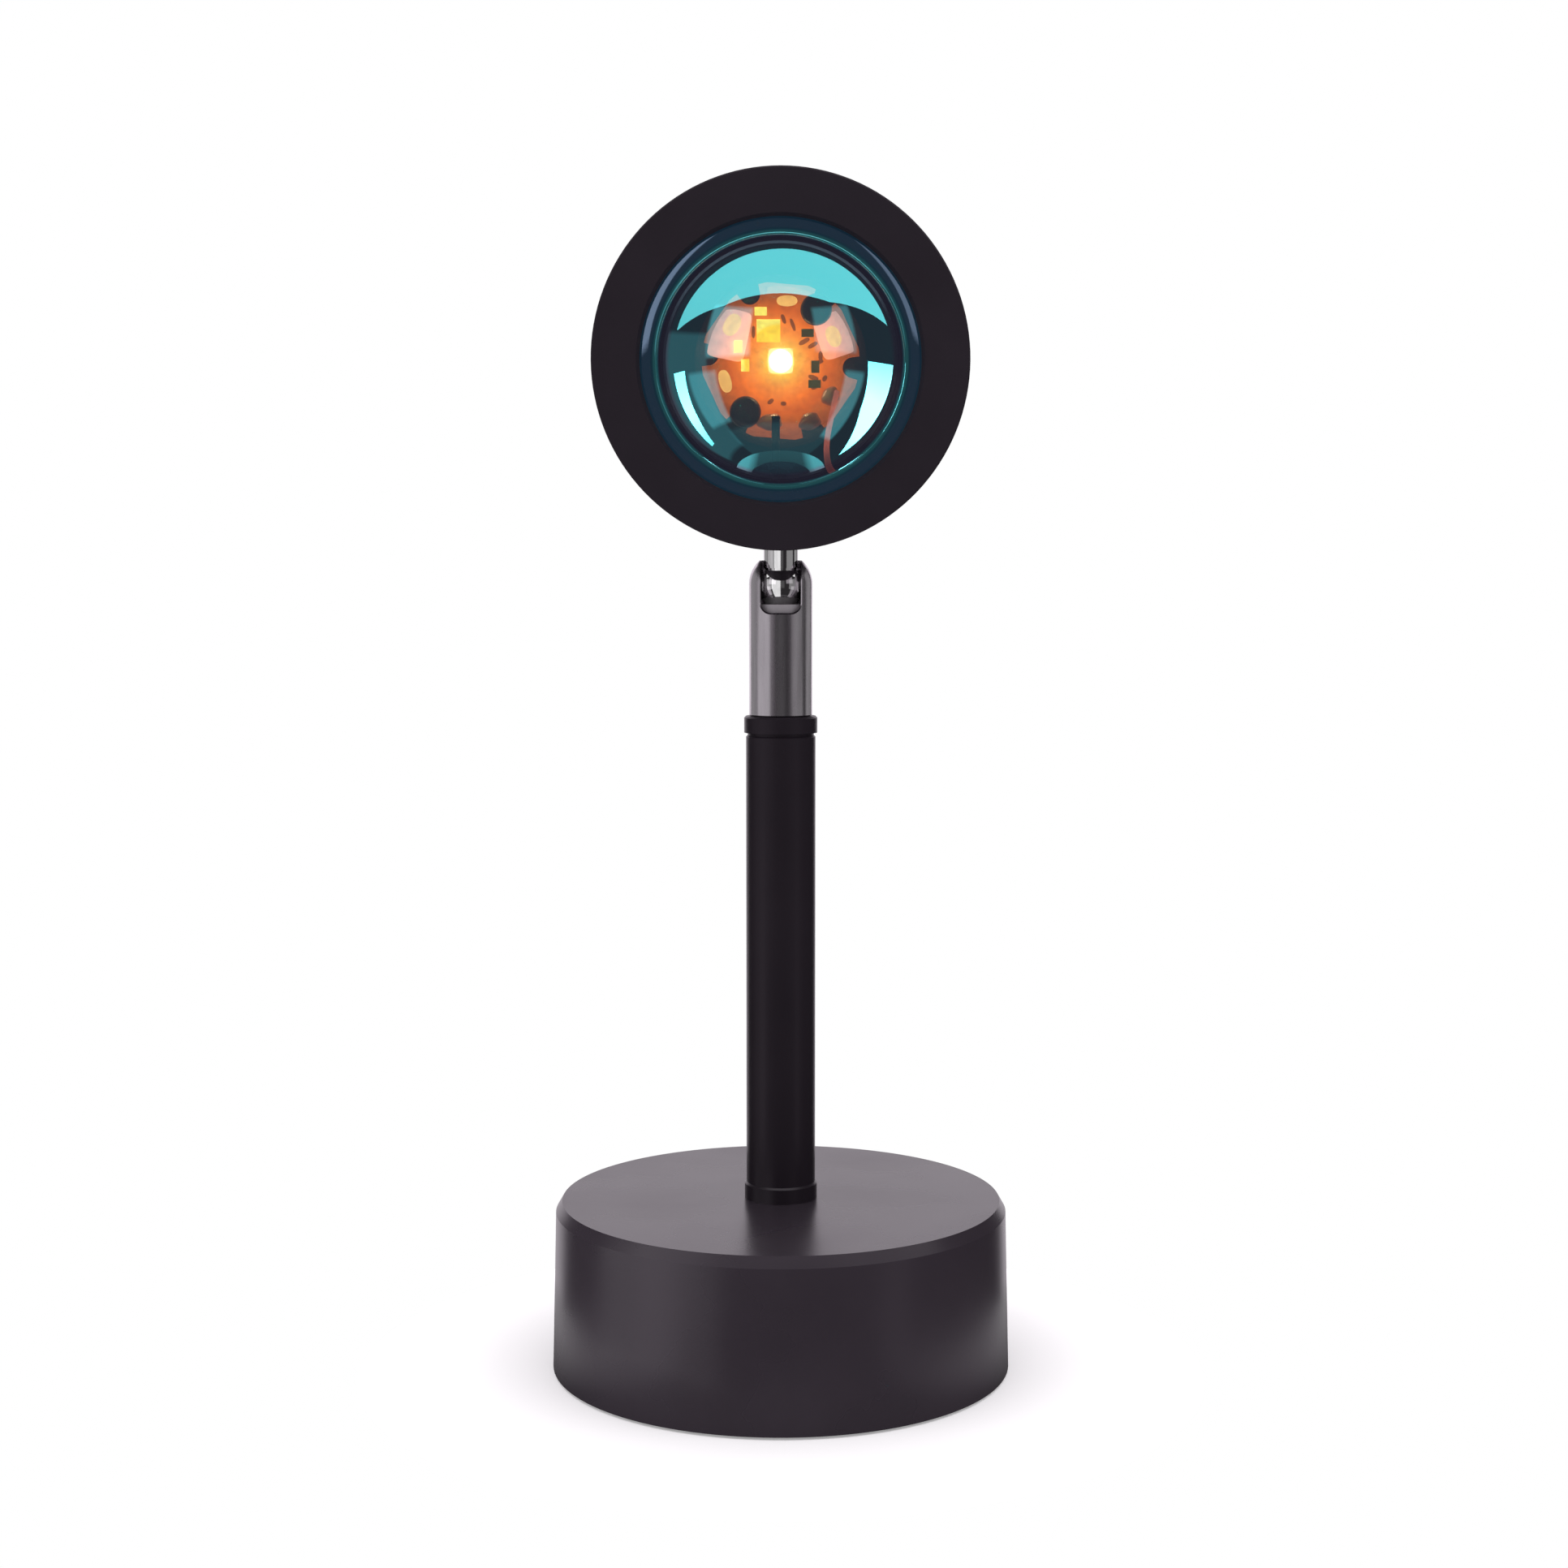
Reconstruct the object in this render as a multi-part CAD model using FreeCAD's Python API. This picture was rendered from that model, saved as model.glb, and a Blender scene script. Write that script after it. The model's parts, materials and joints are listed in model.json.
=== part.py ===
"""Sunset projection lamp, in millimetres.

A round weighted base carries a tube pole. On the pole stands a plated ball socket with a slot in its
front, in which a ball stud tilts forward through a right angle. The stud holds a short round lamp head,
which turns on it. The head is a tube with a front bezel round a thick domed lens, a finned heat sink with
a pedestal for the light source, and a vented rear cap. A lead enters the base through a grommet and runs
up the pole and the stud to the board.

+Z is up and the lens looks along -Y. The origin is the centre of the foot pad's underside.
The head is stored nodding forward by head_rest_tilt, as a lamp that faces a viewer a little below it does.
"""

import FreeCAD, Part

import math
import os

from FreeCAD import Placement, Rotation, Vector

# ---------------------------------------------------------------- base
base_radius = 50.0  # at the rim, where the base is widest
base_height = 37.2  # the top face, above the table
base_rim_gap = 0.6  # the rim stays clear of the table by this much
base_wall_lean = 0.85  # the wall leans in by this much from rim to chamfer
base_chamfer_drop = 2.3
base_chamfer_inset = 1.35
base_inner_chamfer = 0.8
base_wall = 2.0
base_top_wall = 2.2
plate_thickness = 2.0
plate_side_gap = 0.3
pad_thickness = 1.6
pad_side_gap = 0.9
boss_count = 3
boss_turn = 30.0  # degrees from the X axis to the first boss
boss_radius = 3.4
boss_wall_gap = 0.2  # between a boss and the wall
weight_thickness = 12.0
weight_boss_gap = 1.0  # between the weight and the bosses
weight_edge = 1.0
plate_screw_radius = 1.3
plate_screw_head_radius = 2.6
plate_screw_length = 12.0

# ---------------------------------------------------------------- threaded rods, nut and washer
base_rod_radius = 5.0
base_rod_bore = 3.2
socket_rod_radius = 4.0
socket_rod_bore = 2.4
rod_engagement = 8.0  # how far a rod runs into a bush or a plug
thread_gap = 0.05  # radial room between a rod and its threaded hole
base_nut_flats = 14.0
base_nut_height = 5.0
nut_corner_reach = 1.7  # past the flats, beyond a nut's corners
nut_corner_drop = 0.9
base_washer_radius = 9.0
base_washer_thickness = 1.4
rod_nut_stickout = 0.6

# ---------------------------------------------------------------- pole
pole_radius = 7.5
pole_wall = 1.0
pole_length = 97.8
collar_radius = 7.9
collar_height = 3.6
collar_edge = 0.4
collar_spigot = 9.0
collar_groove_height = 0.6
collar_groove_depth = 0.35
tube_edge = 0.3
press_gap = 0.05  # radial room of a spigot in its tube

# ---------------------------------------------------------------- ball socket
socket_radius = 6.8
socket_wall = 1.4
socket_length = 28.3  # from the pole's collar to the ball's centre
socket_foot_edge = 0.3
slot_gap = 0.6  # room at each side of the neck in the slot
slot_corner = 2.2  # the radius of the slot's lower corners
slot_drop = 6.1  # the slot's lowest point, below the ball's centre
slot_edge = 0.3
ball_gap = 0.06  # radial room of the ball in its socket
ball_top_flat = 3.2  # the flat above the ball's centre, where the neck stands
ball_bottom_flat = 4.9
seat_rim_drop = 4.3  # the seat's rim, below the ball's centre
seat_height = 4.2
seat_bore = 2.2
disc_spring_count = 4
disc_spring_thickness = 0.5
disc_spring_rise = 0.75
disc_spring_bore = 2.8

# ---------------------------------------------------------------- ball stud
neck_radius = 3.7
neck_length = 8.8  # from the ball's centre to the head's lowest line
neck_groove_height = 0.45
neck_groove_depth = 0.3
neck_edge = 0.3
stud_radius = 3.0
stud_bore = 1.8
stud_turn_gap = 0.05  # the head turns on the stud and its shoulder with this room
neck_washer_radius = 5.4
neck_washer_thickness = 0.8
neck_nut_flats = 10.0
neck_nut_height = 3.2
stud_nut_stickout = 1.0

# ---------------------------------------------------------------- head
head_rest_tilt = 4.0  # degrees of forward nod at rest
head_radius = 38.3
head_wall = 2.0
shell_front = 22.0  # the shell's front end, ahead of the neck's axis
shell_back = 22.0  # the shell's rear end, behind the neck's axis
neck_pad_radius = 7.0
neck_pad_thickness = 3.0  # wall and pad together, at the neck
spot_face_radius = 4.4
rib_front = 10.0  # the inner rib's front face, behind the neck's axis
rib_thickness = 2.0
rib_height = 3.0
head_fit_gap = 0.15  # radial room of the bezel and the cap in the shell
edge_break = 0.3

# ---------------------------------------------------------------- bezel, lens and its ring
bezel_thickness = 4.0
bezel_spigot = 6.0
bezel_lip = 1.2
bezel_ring_width = 9.8  # from the head's outline to the opening
bezel_opening_edge = 0.7
lens_seat = 1.5  # how far the lens reaches behind the bezel's lip
lens_side_gap = 0.15
lens_flange = 3.0
lens_rim_width = 3.2  # the flat rim in view round the dome
lens_dome_rise = 12.5
lens_root_fillet = 0.8
gasket_width = 2.4
gasket_thickness = 0.8
retainer_width = 3.6
retainer_thickness = 3.5
retainer_notch_width = 2.4
retainer_notch_depth = 1.2

# ---------------------------------------------------------------- heat sink and rear cap
sink_disc_thickness = 3.0
sink_side_gap = 0.5
pedestal_radius = 11.2
pedestal_length = 19.7
sink_core_radius = 10.0
fin_count = 18
fin_thickness = 1.4
fin_length = 8.0
fin_rib_gap = 1.5  # between the fins' tips and the shell's rib
pillar_count = 3
pillar_turn = 90.0  # degrees from the X axis to the first pillar
pillar_radius = 2.8
cap_thickness = 4.4
cap_chamfer = 2.6
cap_plate = 2.2
cap_spigot = 3.0
cap_spigot_wall = 1.6
vent_count = 16
vent_width = 2.4
vent_inner_radius = 11.5
vent_outer_radius = 24.5
cap_screw_radius = 1.5
cap_screw_head_radius = 2.8
cap_screw_length = 8.0
screw_gap = 0.05

# ---------------------------------------------------------------- light source
thermal_pad_thickness = 0.3
board_thickness = 1.6
board_radius = 10.0
board_flats = 18.6
board_notch_radius = 1.7
board_notch_ring = 8.7
board_turn = -5.0  # degrees, clockwise from the lens's side
board_screw_radius = 1.2
board_screw_head_radius = 2.2
board_screw_head_height = 1.3
board_screw_length = 5.0
emitter_side = 3.5
emitter_height = 0.8
emitter_dome_radius = 1.45
wire_radius = 0.6
wire_pair_gap = 0.03
wire_run = 4.0  # straight, at the jacket's end and below the board
wire_rise = 9.0  # towards the lens, where a wire comes up below the board
wire_standoff = 3.0  # from the board's edge
wire_bend = 1.2
red_joint = (6.5, -4.6)  # from the board's centre, to the viewer's right and up
black_joint = (-0.7, -7.9)
chip_size = (3.3, 3.1, 0.9)
chip_place = (-1.7, 4.2)
resistor_long = 1.7
resistor_short = 1.1
resistor_height = 0.5
resistors_upright = ((-6.0, 2.0), (-5.0, -0.6), (4.9, -0.8))
resistors_flat = ((3.8, 3.9), (-2.8, 6.9), (4.8, -3.2))

# ---------------------------------------------------------------- lead and grommet
lead_radius = 1.3
lead_bend_radius = 7.0
lead_height = 8.6  # the lead's run in the base, above the table
jacket_lead_out = 2.0  # the jacket's end stands out of the stud by this much
clamp_width = 9.0
clamp_length = 5.0
clamp_cover = 1.8  # material above the lead
clamp_place = 24.0  # from the base's middle
connector_width = 7.0
connector_height = 6.0
connector_length = 7.0
connector_gap = 1.0  # between the connector and the grommet
grommet_bore = 2.0
grommet_body_radius = 3.5
grommet_flange_radius = 4.8
grommet_flange = 0.8
grommet_gap = 0.05

# ---------------------------------------------------------------- worked-out levels
rim_level = base_rim_gap
chamfer_level = base_height - base_chamfer_drop
base_top_underside = base_height - base_top_wall
wall_top_radius = base_radius - base_wall_lean
plate_underside = pad_thickness
plate_top = plate_underside + plate_thickness
collar_top = base_height + collar_height
tube_bottom = collar_top
tube_top = tube_bottom + pole_length
upper_collar_bottom = tube_top + collar_groove_height
upper_collar_top = upper_collar_bottom + collar_height
ball_level = upper_collar_top + socket_length
socket_bore = socket_radius - socket_wall
ball_radius = socket_bore - ball_gap
weight_bottom = base_top_underside - weight_thickness
washer_bottom = weight_bottom - base_washer_thickness
nut_bottom = washer_bottom - base_nut_height
base_rod_bottom = nut_bottom - rod_nut_stickout
plug_bottom = upper_collar_top + socket_foot_edge
seat_top = ball_level - seat_rim_drop
seat_bottom = seat_top - seat_height
disc_spring_pitch = disc_spring_thickness + disc_spring_rise
plug_top = seat_bottom - disc_spring_count * disc_spring_pitch

head_inner_radius = head_radius - head_wall
bezel_opening = head_radius - bezel_ring_width
lens_radius = bezel_opening + lens_seat
lens_dome_root = bezel_opening - lens_rim_width
head_offset = neck_length + head_radius  # from the ball's centre to the head's axis
bezel_front = shell_front + bezel_thickness
lens_flange_front = bezel_front - bezel_lip
lens_back = lens_flange_front - lens_flange
dome_radius = (lens_dome_root**2 + lens_dome_rise**2) / (2 * lens_dome_rise)
dome_centre = lens_flange_front + lens_dome_rise - dome_radius
sink_disc_back = -rib_front
sink_disc_front = sink_disc_back + sink_disc_thickness
pedestal_top = sink_disc_front + pedestal_length
board_back = pedestal_top + thermal_pad_thickness
board_front = board_back + board_thickness
cap_inner = -(shell_back + cap_thickness - cap_plate)
cap_back = -(shell_back + cap_thickness)
spot_face_depth = head_radius - math.sqrt(head_radius**2 - spot_face_radius**2)
neck_shoulder = neck_length + spot_face_depth - stud_turn_gap
stud_top = neck_length + neck_pad_thickness + neck_washer_thickness + neck_nut_height + stud_nut_stickout

coincident = 1e-6
# A pan head's outline, as shares of its radius and height.
pan_head_side = 0.35
pan_head_shoulder = 0.88
pan_head_shoulder_height = 0.8
pan_head_crown = 0.55
X_AXIS = Vector(1, 0, 0)
Y_AXIS = Vector(0, 1, 0)
Z_AXIS = Vector(0, 0, 1)
ORIGIN = Vector(0, 0, 0)


# ---------------------------------------------------------------- shape helpers
def outline(start, *steps):
    """A closed wire in the plane of radius and height.

    A step is a point, or a pair: a point on the arc and the arc's end.
    """
    edges = []
    here = Vector(start[0], 0, start[1])
    for step in steps + (start,):
        if isinstance(step[0], tuple):
            middle, end = (Vector(p[0], 0, p[1]) for p in step)
            edges.append(Part.Arc(here, middle, end).toShape())
        else:
            end = Vector(step[0], 0, step[1])
            if end.distanceToPoint(here) > coincident:
                edges.append(Part.LineSegment(here, end).toShape())
        here = end
    return Part.Wire(edges)


def turned(start, *steps):
    """A solid of revolution about Z of the profile that outline() draws."""
    return Part.Face(outline(start, *steps)).revolve(ORIGIN, Z_AXIS, 360)


def rod(radius, bottom, top):
    return Part.makeCylinder(radius, top - bottom, Vector(0, 0, bottom))


def ring(outer, inner, bottom, top):
    return turned((inner, bottom), (outer, bottom), (outer, top), (inner, top))


def prism(points, bottom, top):
    """A prism on a polygon of (x, y) points."""
    corners = [Vector(x, y, bottom) for x, y in points]
    return Part.Face(Part.makePolygon(corners + corners[:1])).extrude(Vector(0, 0, top - bottom))


def hexagon(flats, bottom, top):
    corner = flats / math.sqrt(3)
    angles = [math.radians(60 * i) for i in range(6)]
    return prism([(corner * math.cos(a), corner * math.sin(a)) for a in angles], bottom, top)


def block(size_x, size_y, size_z, centre_x, centre_y, bottom):
    corner = Vector(centre_x - size_x / 2, centre_y - size_y / 2, bottom)
    return Part.makeBox(size_x, size_y, size_z, corner)


def round_pattern(shape, count, first=0.0):
    """Copies of a shape spread evenly round Z."""
    copies = []
    for i in range(count):
        copy = shape.copy()
        copy.rotate(ORIGIN, Z_AXIS, first + 360.0 * i / count)
        copies.append(copy)
    return copies


def moved(shape, x=0.0, y=0.0, z=0.0):
    copy = shape.copy()
    copy.translate(Vector(x, y, z))
    return copy


def pan_head_screw(shank_radius, head_radius, head_height, length):
    """A head with a domed edge on Z=0, and its shank below."""
    return turned(
        (0, -length), (shank_radius, -length), (shank_radius, 0), (head_radius, 0),
        (head_radius, head_height * pan_head_side),
        ((head_radius * pan_head_shoulder, head_height * pan_head_shoulder_height),
         (head_radius * pan_head_crown, head_height)),
        (0, head_height),
    )


def flat_head_screw(shank_radius, head_radius, length):
    """A countersunk screw whose head's flat face lies on Z=0, with its shank below."""
    cone = head_radius - shank_radius
    return turned((0, -length), (shank_radius, -length), (shank_radius, -cone), (head_radius, 0), (0, 0))


def piped(points, bend, radius):
    """A round bar along straight runs, with an arc of the given radius tangent to the runs at each corner."""
    corners = [Vector(*p) for p in points]
    edges = []
    here = corners[0]
    for before, corner, after in zip(corners, corners[1:], corners[2:]):
        back = (before - corner).normalize()
        ahead = (after - corner).normalize()
        half = back.getAngle(ahead) / 2
        reach = bend / math.tan(half)
        middle_way = (back + ahead).normalize()
        centre = corner + middle_way * (bend / math.sin(half))
        first, last = corner + back * reach, corner + ahead * reach
        edges.append(Part.LineSegment(here, first).toShape())
        edges.append(Part.Arc(first, centre - middle_way * bend, last).toShape())
        here = last
    edges.append(Part.LineSegment(here, corners[-1]).toShape())
    section = Part.Wire(Part.makeCircle(radius, corners[0], corners[1] - corners[0]))
    return Part.Wire(edges).makePipeShell([section], True, False)


def in_neck_frame(shape):
    """Takes a shape built upright about the ball's centre to its place, nodded forward with the head."""
    copy = shape.copy()
    copy.Placement = Placement(Vector(0, 0, ball_level), Rotation(X_AXIS, head_rest_tilt))
    return copy


def in_head_frame(shape):
    """Takes a shape built along the lens's axis, +Z forward and +Y up, to its place in the head."""
    copy = shape.copy()
    upright = Placement(Vector(0, 0, head_offset), Rotation(X_AXIS, 90))
    nod = Placement(Vector(0, 0, ball_level), Rotation(X_AXIS, head_rest_tilt))
    copy.Placement = nod.multiply(upright)
    return copy


# ---------------------------------------------------------------- base
def base_outer_radius(level):
    """The wall's outer radius at a height, on its straight lean from rim to chamfer."""
    share = (level - rim_level) / (chamfer_level - rim_level)
    return base_radius - base_wall_lean * share


plate_radius = base_outer_radius(plate_top) - base_wall - plate_side_gap
pad_radius = base_outer_radius(plate_underside) - base_wall - pad_side_gap
boss_ring = wall_top_radius - base_wall - boss_radius - boss_wall_gap
weight_radius = boss_ring - boss_radius - weight_boss_gap


def base_cover():
    """The drum: a leaning wall, a chamfered top and the screw bosses inside."""
    cover = turned(
        (base_radius - base_wall, rim_level), (base_radius, rim_level),
        (wall_top_radius, chamfer_level),
        (wall_top_radius - base_chamfer_inset, base_height),
        (base_rod_radius + thread_gap, base_height),
        (base_rod_radius + thread_gap, base_top_underside),
        (wall_top_radius - base_wall - base_inner_chamfer, base_top_underside),
        (wall_top_radius - base_wall, base_top_underside - base_inner_chamfer),
    )
    boss = rod(boss_radius, plate_top, base_top_underside + base_top_wall / 2)
    pilot = rod(plate_screw_radius + screw_gap, plate_top, plate_top + plate_screw_length)
    bosses = round_pattern(moved(boss, x=boss_ring), boss_count, boss_turn)
    pilots = round_pattern(moved(pilot, x=boss_ring), boss_count, boss_turn)
    lead_hole = Part.makeCylinder(
        grommet_body_radius + grommet_gap, 4 * base_wall,
        Vector(0, base_radius - 3 * base_wall, lead_height), Y_AXIS,
    )
    return cover.fuse(bosses).cut(pilots + [lead_hole]).removeSplitter()


def bottom_plate():
    plate = rod(plate_radius, plate_underside, plate_top)
    head_cone = plate_screw_head_radius - plate_screw_radius
    sink = turned(
        (0, plate_underside), (plate_screw_head_radius + screw_gap, plate_underside),
        (plate_screw_radius + screw_gap, plate_underside + head_cone),
        (plate_screw_radius + screw_gap, plate_top), (0, plate_top),
    )
    return plate.cut(round_pattern(moved(sink, x=boss_ring), boss_count, boss_turn))


def bottom_plate_screws():
    screw = flat_head_screw(plate_screw_radius, plate_screw_head_radius, plate_screw_length)
    screw.rotate(ORIGIN, X_AXIS, 180)
    first = moved(screw, x=boss_ring, z=plate_underside)
    return Part.makeCompound(round_pattern(first, boss_count, boss_turn))


def foot_pad():
    return rod(pad_radius, 0, pad_thickness)


def base_weight():
    hole = base_rod_radius + thread_gap
    return turned(
        (hole, weight_bottom), (weight_radius - weight_edge, weight_bottom),
        (weight_radius, weight_bottom + weight_edge), (weight_radius, base_top_underside - weight_edge),
        (weight_radius - weight_edge, base_top_underside), (hole, base_top_underside),
    )


def base_washer():
    return ring(base_washer_radius, base_rod_radius + thread_gap, washer_bottom, weight_bottom)


def base_nut():
    outside = base_nut_flats / 2 + nut_corner_reach
    corner_cut = turned(
        (0, nut_bottom), (base_nut_flats / 2, nut_bottom), (outside, nut_bottom + nut_corner_drop),
        (outside, washer_bottom), (0, washer_bottom),
    )
    hole = rod(base_rod_radius + thread_gap, nut_bottom, washer_bottom)
    return hexagon(base_nut_flats, nut_bottom, washer_bottom).common(corner_cut).cut(hole)


def grommet():
    """A rubber bush with a flange on each side of the base's wall."""
    wall_outside = base_outer_radius(lead_height - grommet_flange_radius) + grommet_gap
    inner_face = grommet_inner_face()
    bush = turned(
        (grommet_bore, inner_face - grommet_flange), (grommet_flange_radius, inner_face - grommet_flange),
        (grommet_flange_radius, inner_face), (grommet_body_radius, inner_face),
        (grommet_body_radius, wall_outside), (grommet_flange_radius, wall_outside),
        (grommet_flange_radius - grommet_flange / 2, wall_outside + grommet_flange),
        (grommet_bore, wall_outside + grommet_flange),
    )
    bush.rotate(ORIGIN, X_AXIS, -90)
    return moved(bush, z=lead_height)


# ---------------------------------------------------------------- pole
def base_rod():
    return ring(base_rod_radius, base_rod_bore, base_rod_bottom, base_height + collar_height + rod_engagement)


def lower_collar():
    """A flanged bush that the pole's tube stands on."""
    spigot = pole_radius - pole_wall - press_gap
    hole = base_rod_radius + thread_gap
    return turned(
        (hole, base_height), (collar_radius, base_height), (collar_radius, collar_top - collar_edge),
        (collar_radius - collar_edge, collar_top), (spigot, collar_top),
        (spigot, collar_top + collar_spigot), (hole, collar_top + collar_spigot),
    )


def pole_tube():
    bore = pole_radius - pole_wall
    return turned(
        (bore, tube_bottom), (pole_radius, tube_bottom), (pole_radius, tube_top - tube_edge),
        (pole_radius - tube_edge, tube_top), (bore, tube_top),
    )


def upper_collar():
    """The same bush the other way up, with a narrow groove between its flange and the tube."""
    spigot = pole_radius - pole_wall - press_gap
    hole = socket_rod_radius + thread_gap
    groove = pole_radius - collar_groove_depth
    return turned(
        (hole, tube_top - collar_spigot), (spigot, tube_top - collar_spigot), (spigot, tube_top),
        (groove, tube_top), (groove, upper_collar_bottom), (collar_radius, upper_collar_bottom),
        (collar_radius, upper_collar_top - collar_edge), (collar_radius - collar_edge, upper_collar_top),
        (hole, upper_collar_top),
    )


def socket_rod():
    return ring(
        socket_rod_radius, socket_rod_bore, upper_collar_top - rod_engagement, plug_bottom + rod_engagement
    )


# ---------------------------------------------------------------- ball socket
def swivel_socket():
    """A round bar with a domed end, bored from below, with a slot from the dome's middle down its front."""
    body = turned(
        (socket_bore, upper_collar_top), (socket_radius - socket_foot_edge, upper_collar_top),
        (socket_radius, upper_collar_top + socket_foot_edge), (socket_radius, ball_level),
        ((socket_radius * math.sqrt(0.5), ball_level + socket_radius * math.sqrt(0.5)),
         (0, ball_level + socket_radius)),
        (0, ball_level + socket_bore),
        ((socket_bore * math.sqrt(0.5), ball_level + socket_bore * math.sqrt(0.5)),
         (socket_bore, ball_level)),
    )
    half_width = neck_radius + slot_gap
    flat_half = half_width - slot_corner
    slot_foot = ball_level - slot_drop
    corner_level = slot_foot + slot_corner
    above = socket_radius + 1
    top_hole = rod(half_width, ball_level, ball_level + above)
    channel = Part.makeBox(
        2 * half_width, above, ball_level + above - corner_level, Vector(-half_width, -above, corner_level)
    )
    foot = Part.makeBox(2 * flat_half, above, slot_corner, Vector(-flat_half, -above, slot_foot))
    corners = [Part.makeCylinder(slot_corner, above, Vector(x, 0, corner_level), -Y_AXIS)
               for x in (-flat_half, flat_half)]
    slotted = body.cut(top_hole.fuse([channel, foot] + corners).removeSplitter())
    return broken_slot_edges(slotted)


def broken_slot_edges(socket):
    """Chamfers the slot's rim where it lies on the outside of the socket, on its cylinder or its dome."""
    half_width = neck_radius + slot_gap
    near = 0.01
    rim = []
    for edge in socket.Edges:
        middle = edge.valueAt((edge.FirstParameter + edge.LastParameter) / 2)
        if abs(middle.x) > half_width + near or middle.z < ball_level - slot_drop - near:
            continue
        above_ball = max(0, middle.z - ball_level)
        if abs(math.hypot(middle.x, middle.y, above_ball) - socket_radius) < near:
            rim.append(edge)
    return socket.makeChamfer(slot_edge, rim)


def socket_plug():
    return ring(socket_bore - press_gap, socket_rod_radius + thread_gap, plug_bottom, plug_top)


def disc_springs():
    """A stack of coned washers, each turned over on the last, that presses the seat against the ball."""
    outer = socket_bore - 2 * press_gap
    washers = []
    for i in range(disc_spring_count):
        low = plug_top + i * disc_spring_pitch
        inner_lift, outer_lift = (0, disc_spring_rise) if i % 2 else (disc_spring_rise, 0)
        washers.append(turned(
            (disc_spring_bore, low + inner_lift), (outer, low + outer_lift),
            (outer, low + outer_lift + disc_spring_thickness),
            (disc_spring_bore, low + inner_lift + disc_spring_thickness),
        ))
    return Part.makeCompound(washers)


def ball_seat():
    """A ring dished to the ball."""
    dish_radius = ball_radius + ball_gap
    rim = math.sqrt(dish_radius**2 - seat_rim_drop**2)
    foot_drop = math.sqrt(dish_radius**2 - seat_bore**2)
    middle_radius = (rim + seat_bore) / 2
    middle_drop = math.sqrt(dish_radius**2 - middle_radius**2)
    outer = socket_bore - press_gap
    return turned(
        (seat_bore, seat_bottom), (outer, seat_bottom), (outer, seat_top), (rim, seat_top),
        ((middle_radius, ball_level - middle_drop), (seat_bore, ball_level - foot_drop)),
    )


# ---------------------------------------------------------------- ball stud, upright about the ball's centre
def ball_stud():
    """A ball cut flat above and below, with a plated neck and a hollow threaded end."""
    top_circle = math.sqrt(ball_radius**2 - ball_top_flat**2)
    bottom_circle = math.sqrt(ball_radius**2 - ball_bottom_flat**2)
    groove = neck_radius - neck_groove_depth
    return turned(
        (stud_bore, -ball_bottom_flat), (bottom_circle, -ball_bottom_flat),
        ((ball_radius, 0), (top_circle, ball_top_flat)),
        (groove, ball_top_flat), (groove, ball_top_flat + neck_groove_height),
        (neck_radius, ball_top_flat + neck_groove_height), (neck_radius, neck_shoulder - neck_edge),
        (neck_radius - neck_edge, neck_shoulder), (stud_radius, neck_shoulder), (stud_radius, stud_top),
        (stud_bore, stud_top),
    )


def neck_washer():
    bottom = neck_length + neck_pad_thickness
    return ring(neck_washer_radius, stud_radius + thread_gap, bottom, bottom + neck_washer_thickness)


def neck_nut():
    outside = neck_nut_flats / 2 + nut_corner_reach
    bottom = neck_length + neck_pad_thickness + neck_washer_thickness
    top = bottom + neck_nut_height
    rounded = turned(
        (0, bottom), (outside, bottom), (outside, top - nut_corner_drop), (neck_nut_flats / 2, top), (0, top),
    )
    hole = rod(stud_radius + thread_gap, bottom, top)
    return hexagon(neck_nut_flats, bottom, top).common(rounded).cut(hole)


# ---------------------------------------------------------------- head, built along the lens's axis
def head_shell():
    """A tube with an inner rib for the heat sink, and a flat pad inside where the neck's nut pulls."""
    rib_inner = head_inner_radius - rib_height
    rib_back = -(rib_front + rib_thickness)
    tube = turned(
        (head_inner_radius, -shell_back), (head_radius, -shell_back), (head_radius, shell_front),
        (head_inner_radius, shell_front), (head_inner_radius, -rib_front), (rib_inner, -rib_front),
        (rib_inner, rib_back), (head_inner_radius, rib_back),
    )
    pad_face = head_radius - neck_pad_thickness
    pad_depth = head_radius - head_wall / 2 - pad_face
    pad = Part.makeCylinder(neck_pad_radius, pad_depth, Vector(0, -pad_face, 0), -Y_AXIS)
    core = rod(head_inner_radius + head_wall / 2, -shell_back, shell_front)
    spot = Part.makeCylinder(spot_face_radius, head_wall, Vector(0, -head_radius, 0), -Y_AXIS)
    spot = moved(spot, y=spot_face_depth)
    hole = Part.makeCylinder(
        stud_radius + stud_turn_gap, 2 * head_wall + neck_pad_thickness,
        Vector(0, -pad_face + head_wall, 0), -Y_AXIS,
    )
    return tube.fuse(pad.common(core)).cut([spot, hole]).removeSplitter()


def front_bezel():
    spigot = head_inner_radius - head_fit_gap
    pocket = lens_radius + lens_side_gap
    back = shell_front - bezel_spigot
    return turned(
        (pocket, back), (spigot, back), (spigot, shell_front), (head_radius, shell_front),
        (head_radius, bezel_front - edge_break), (head_radius - edge_break, bezel_front),
        (bezel_opening + bezel_opening_edge, bezel_front), (bezel_opening, bezel_front - bezel_opening_edge),
        (bezel_opening, lens_flange_front), (pocket, lens_flange_front),
    )


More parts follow.
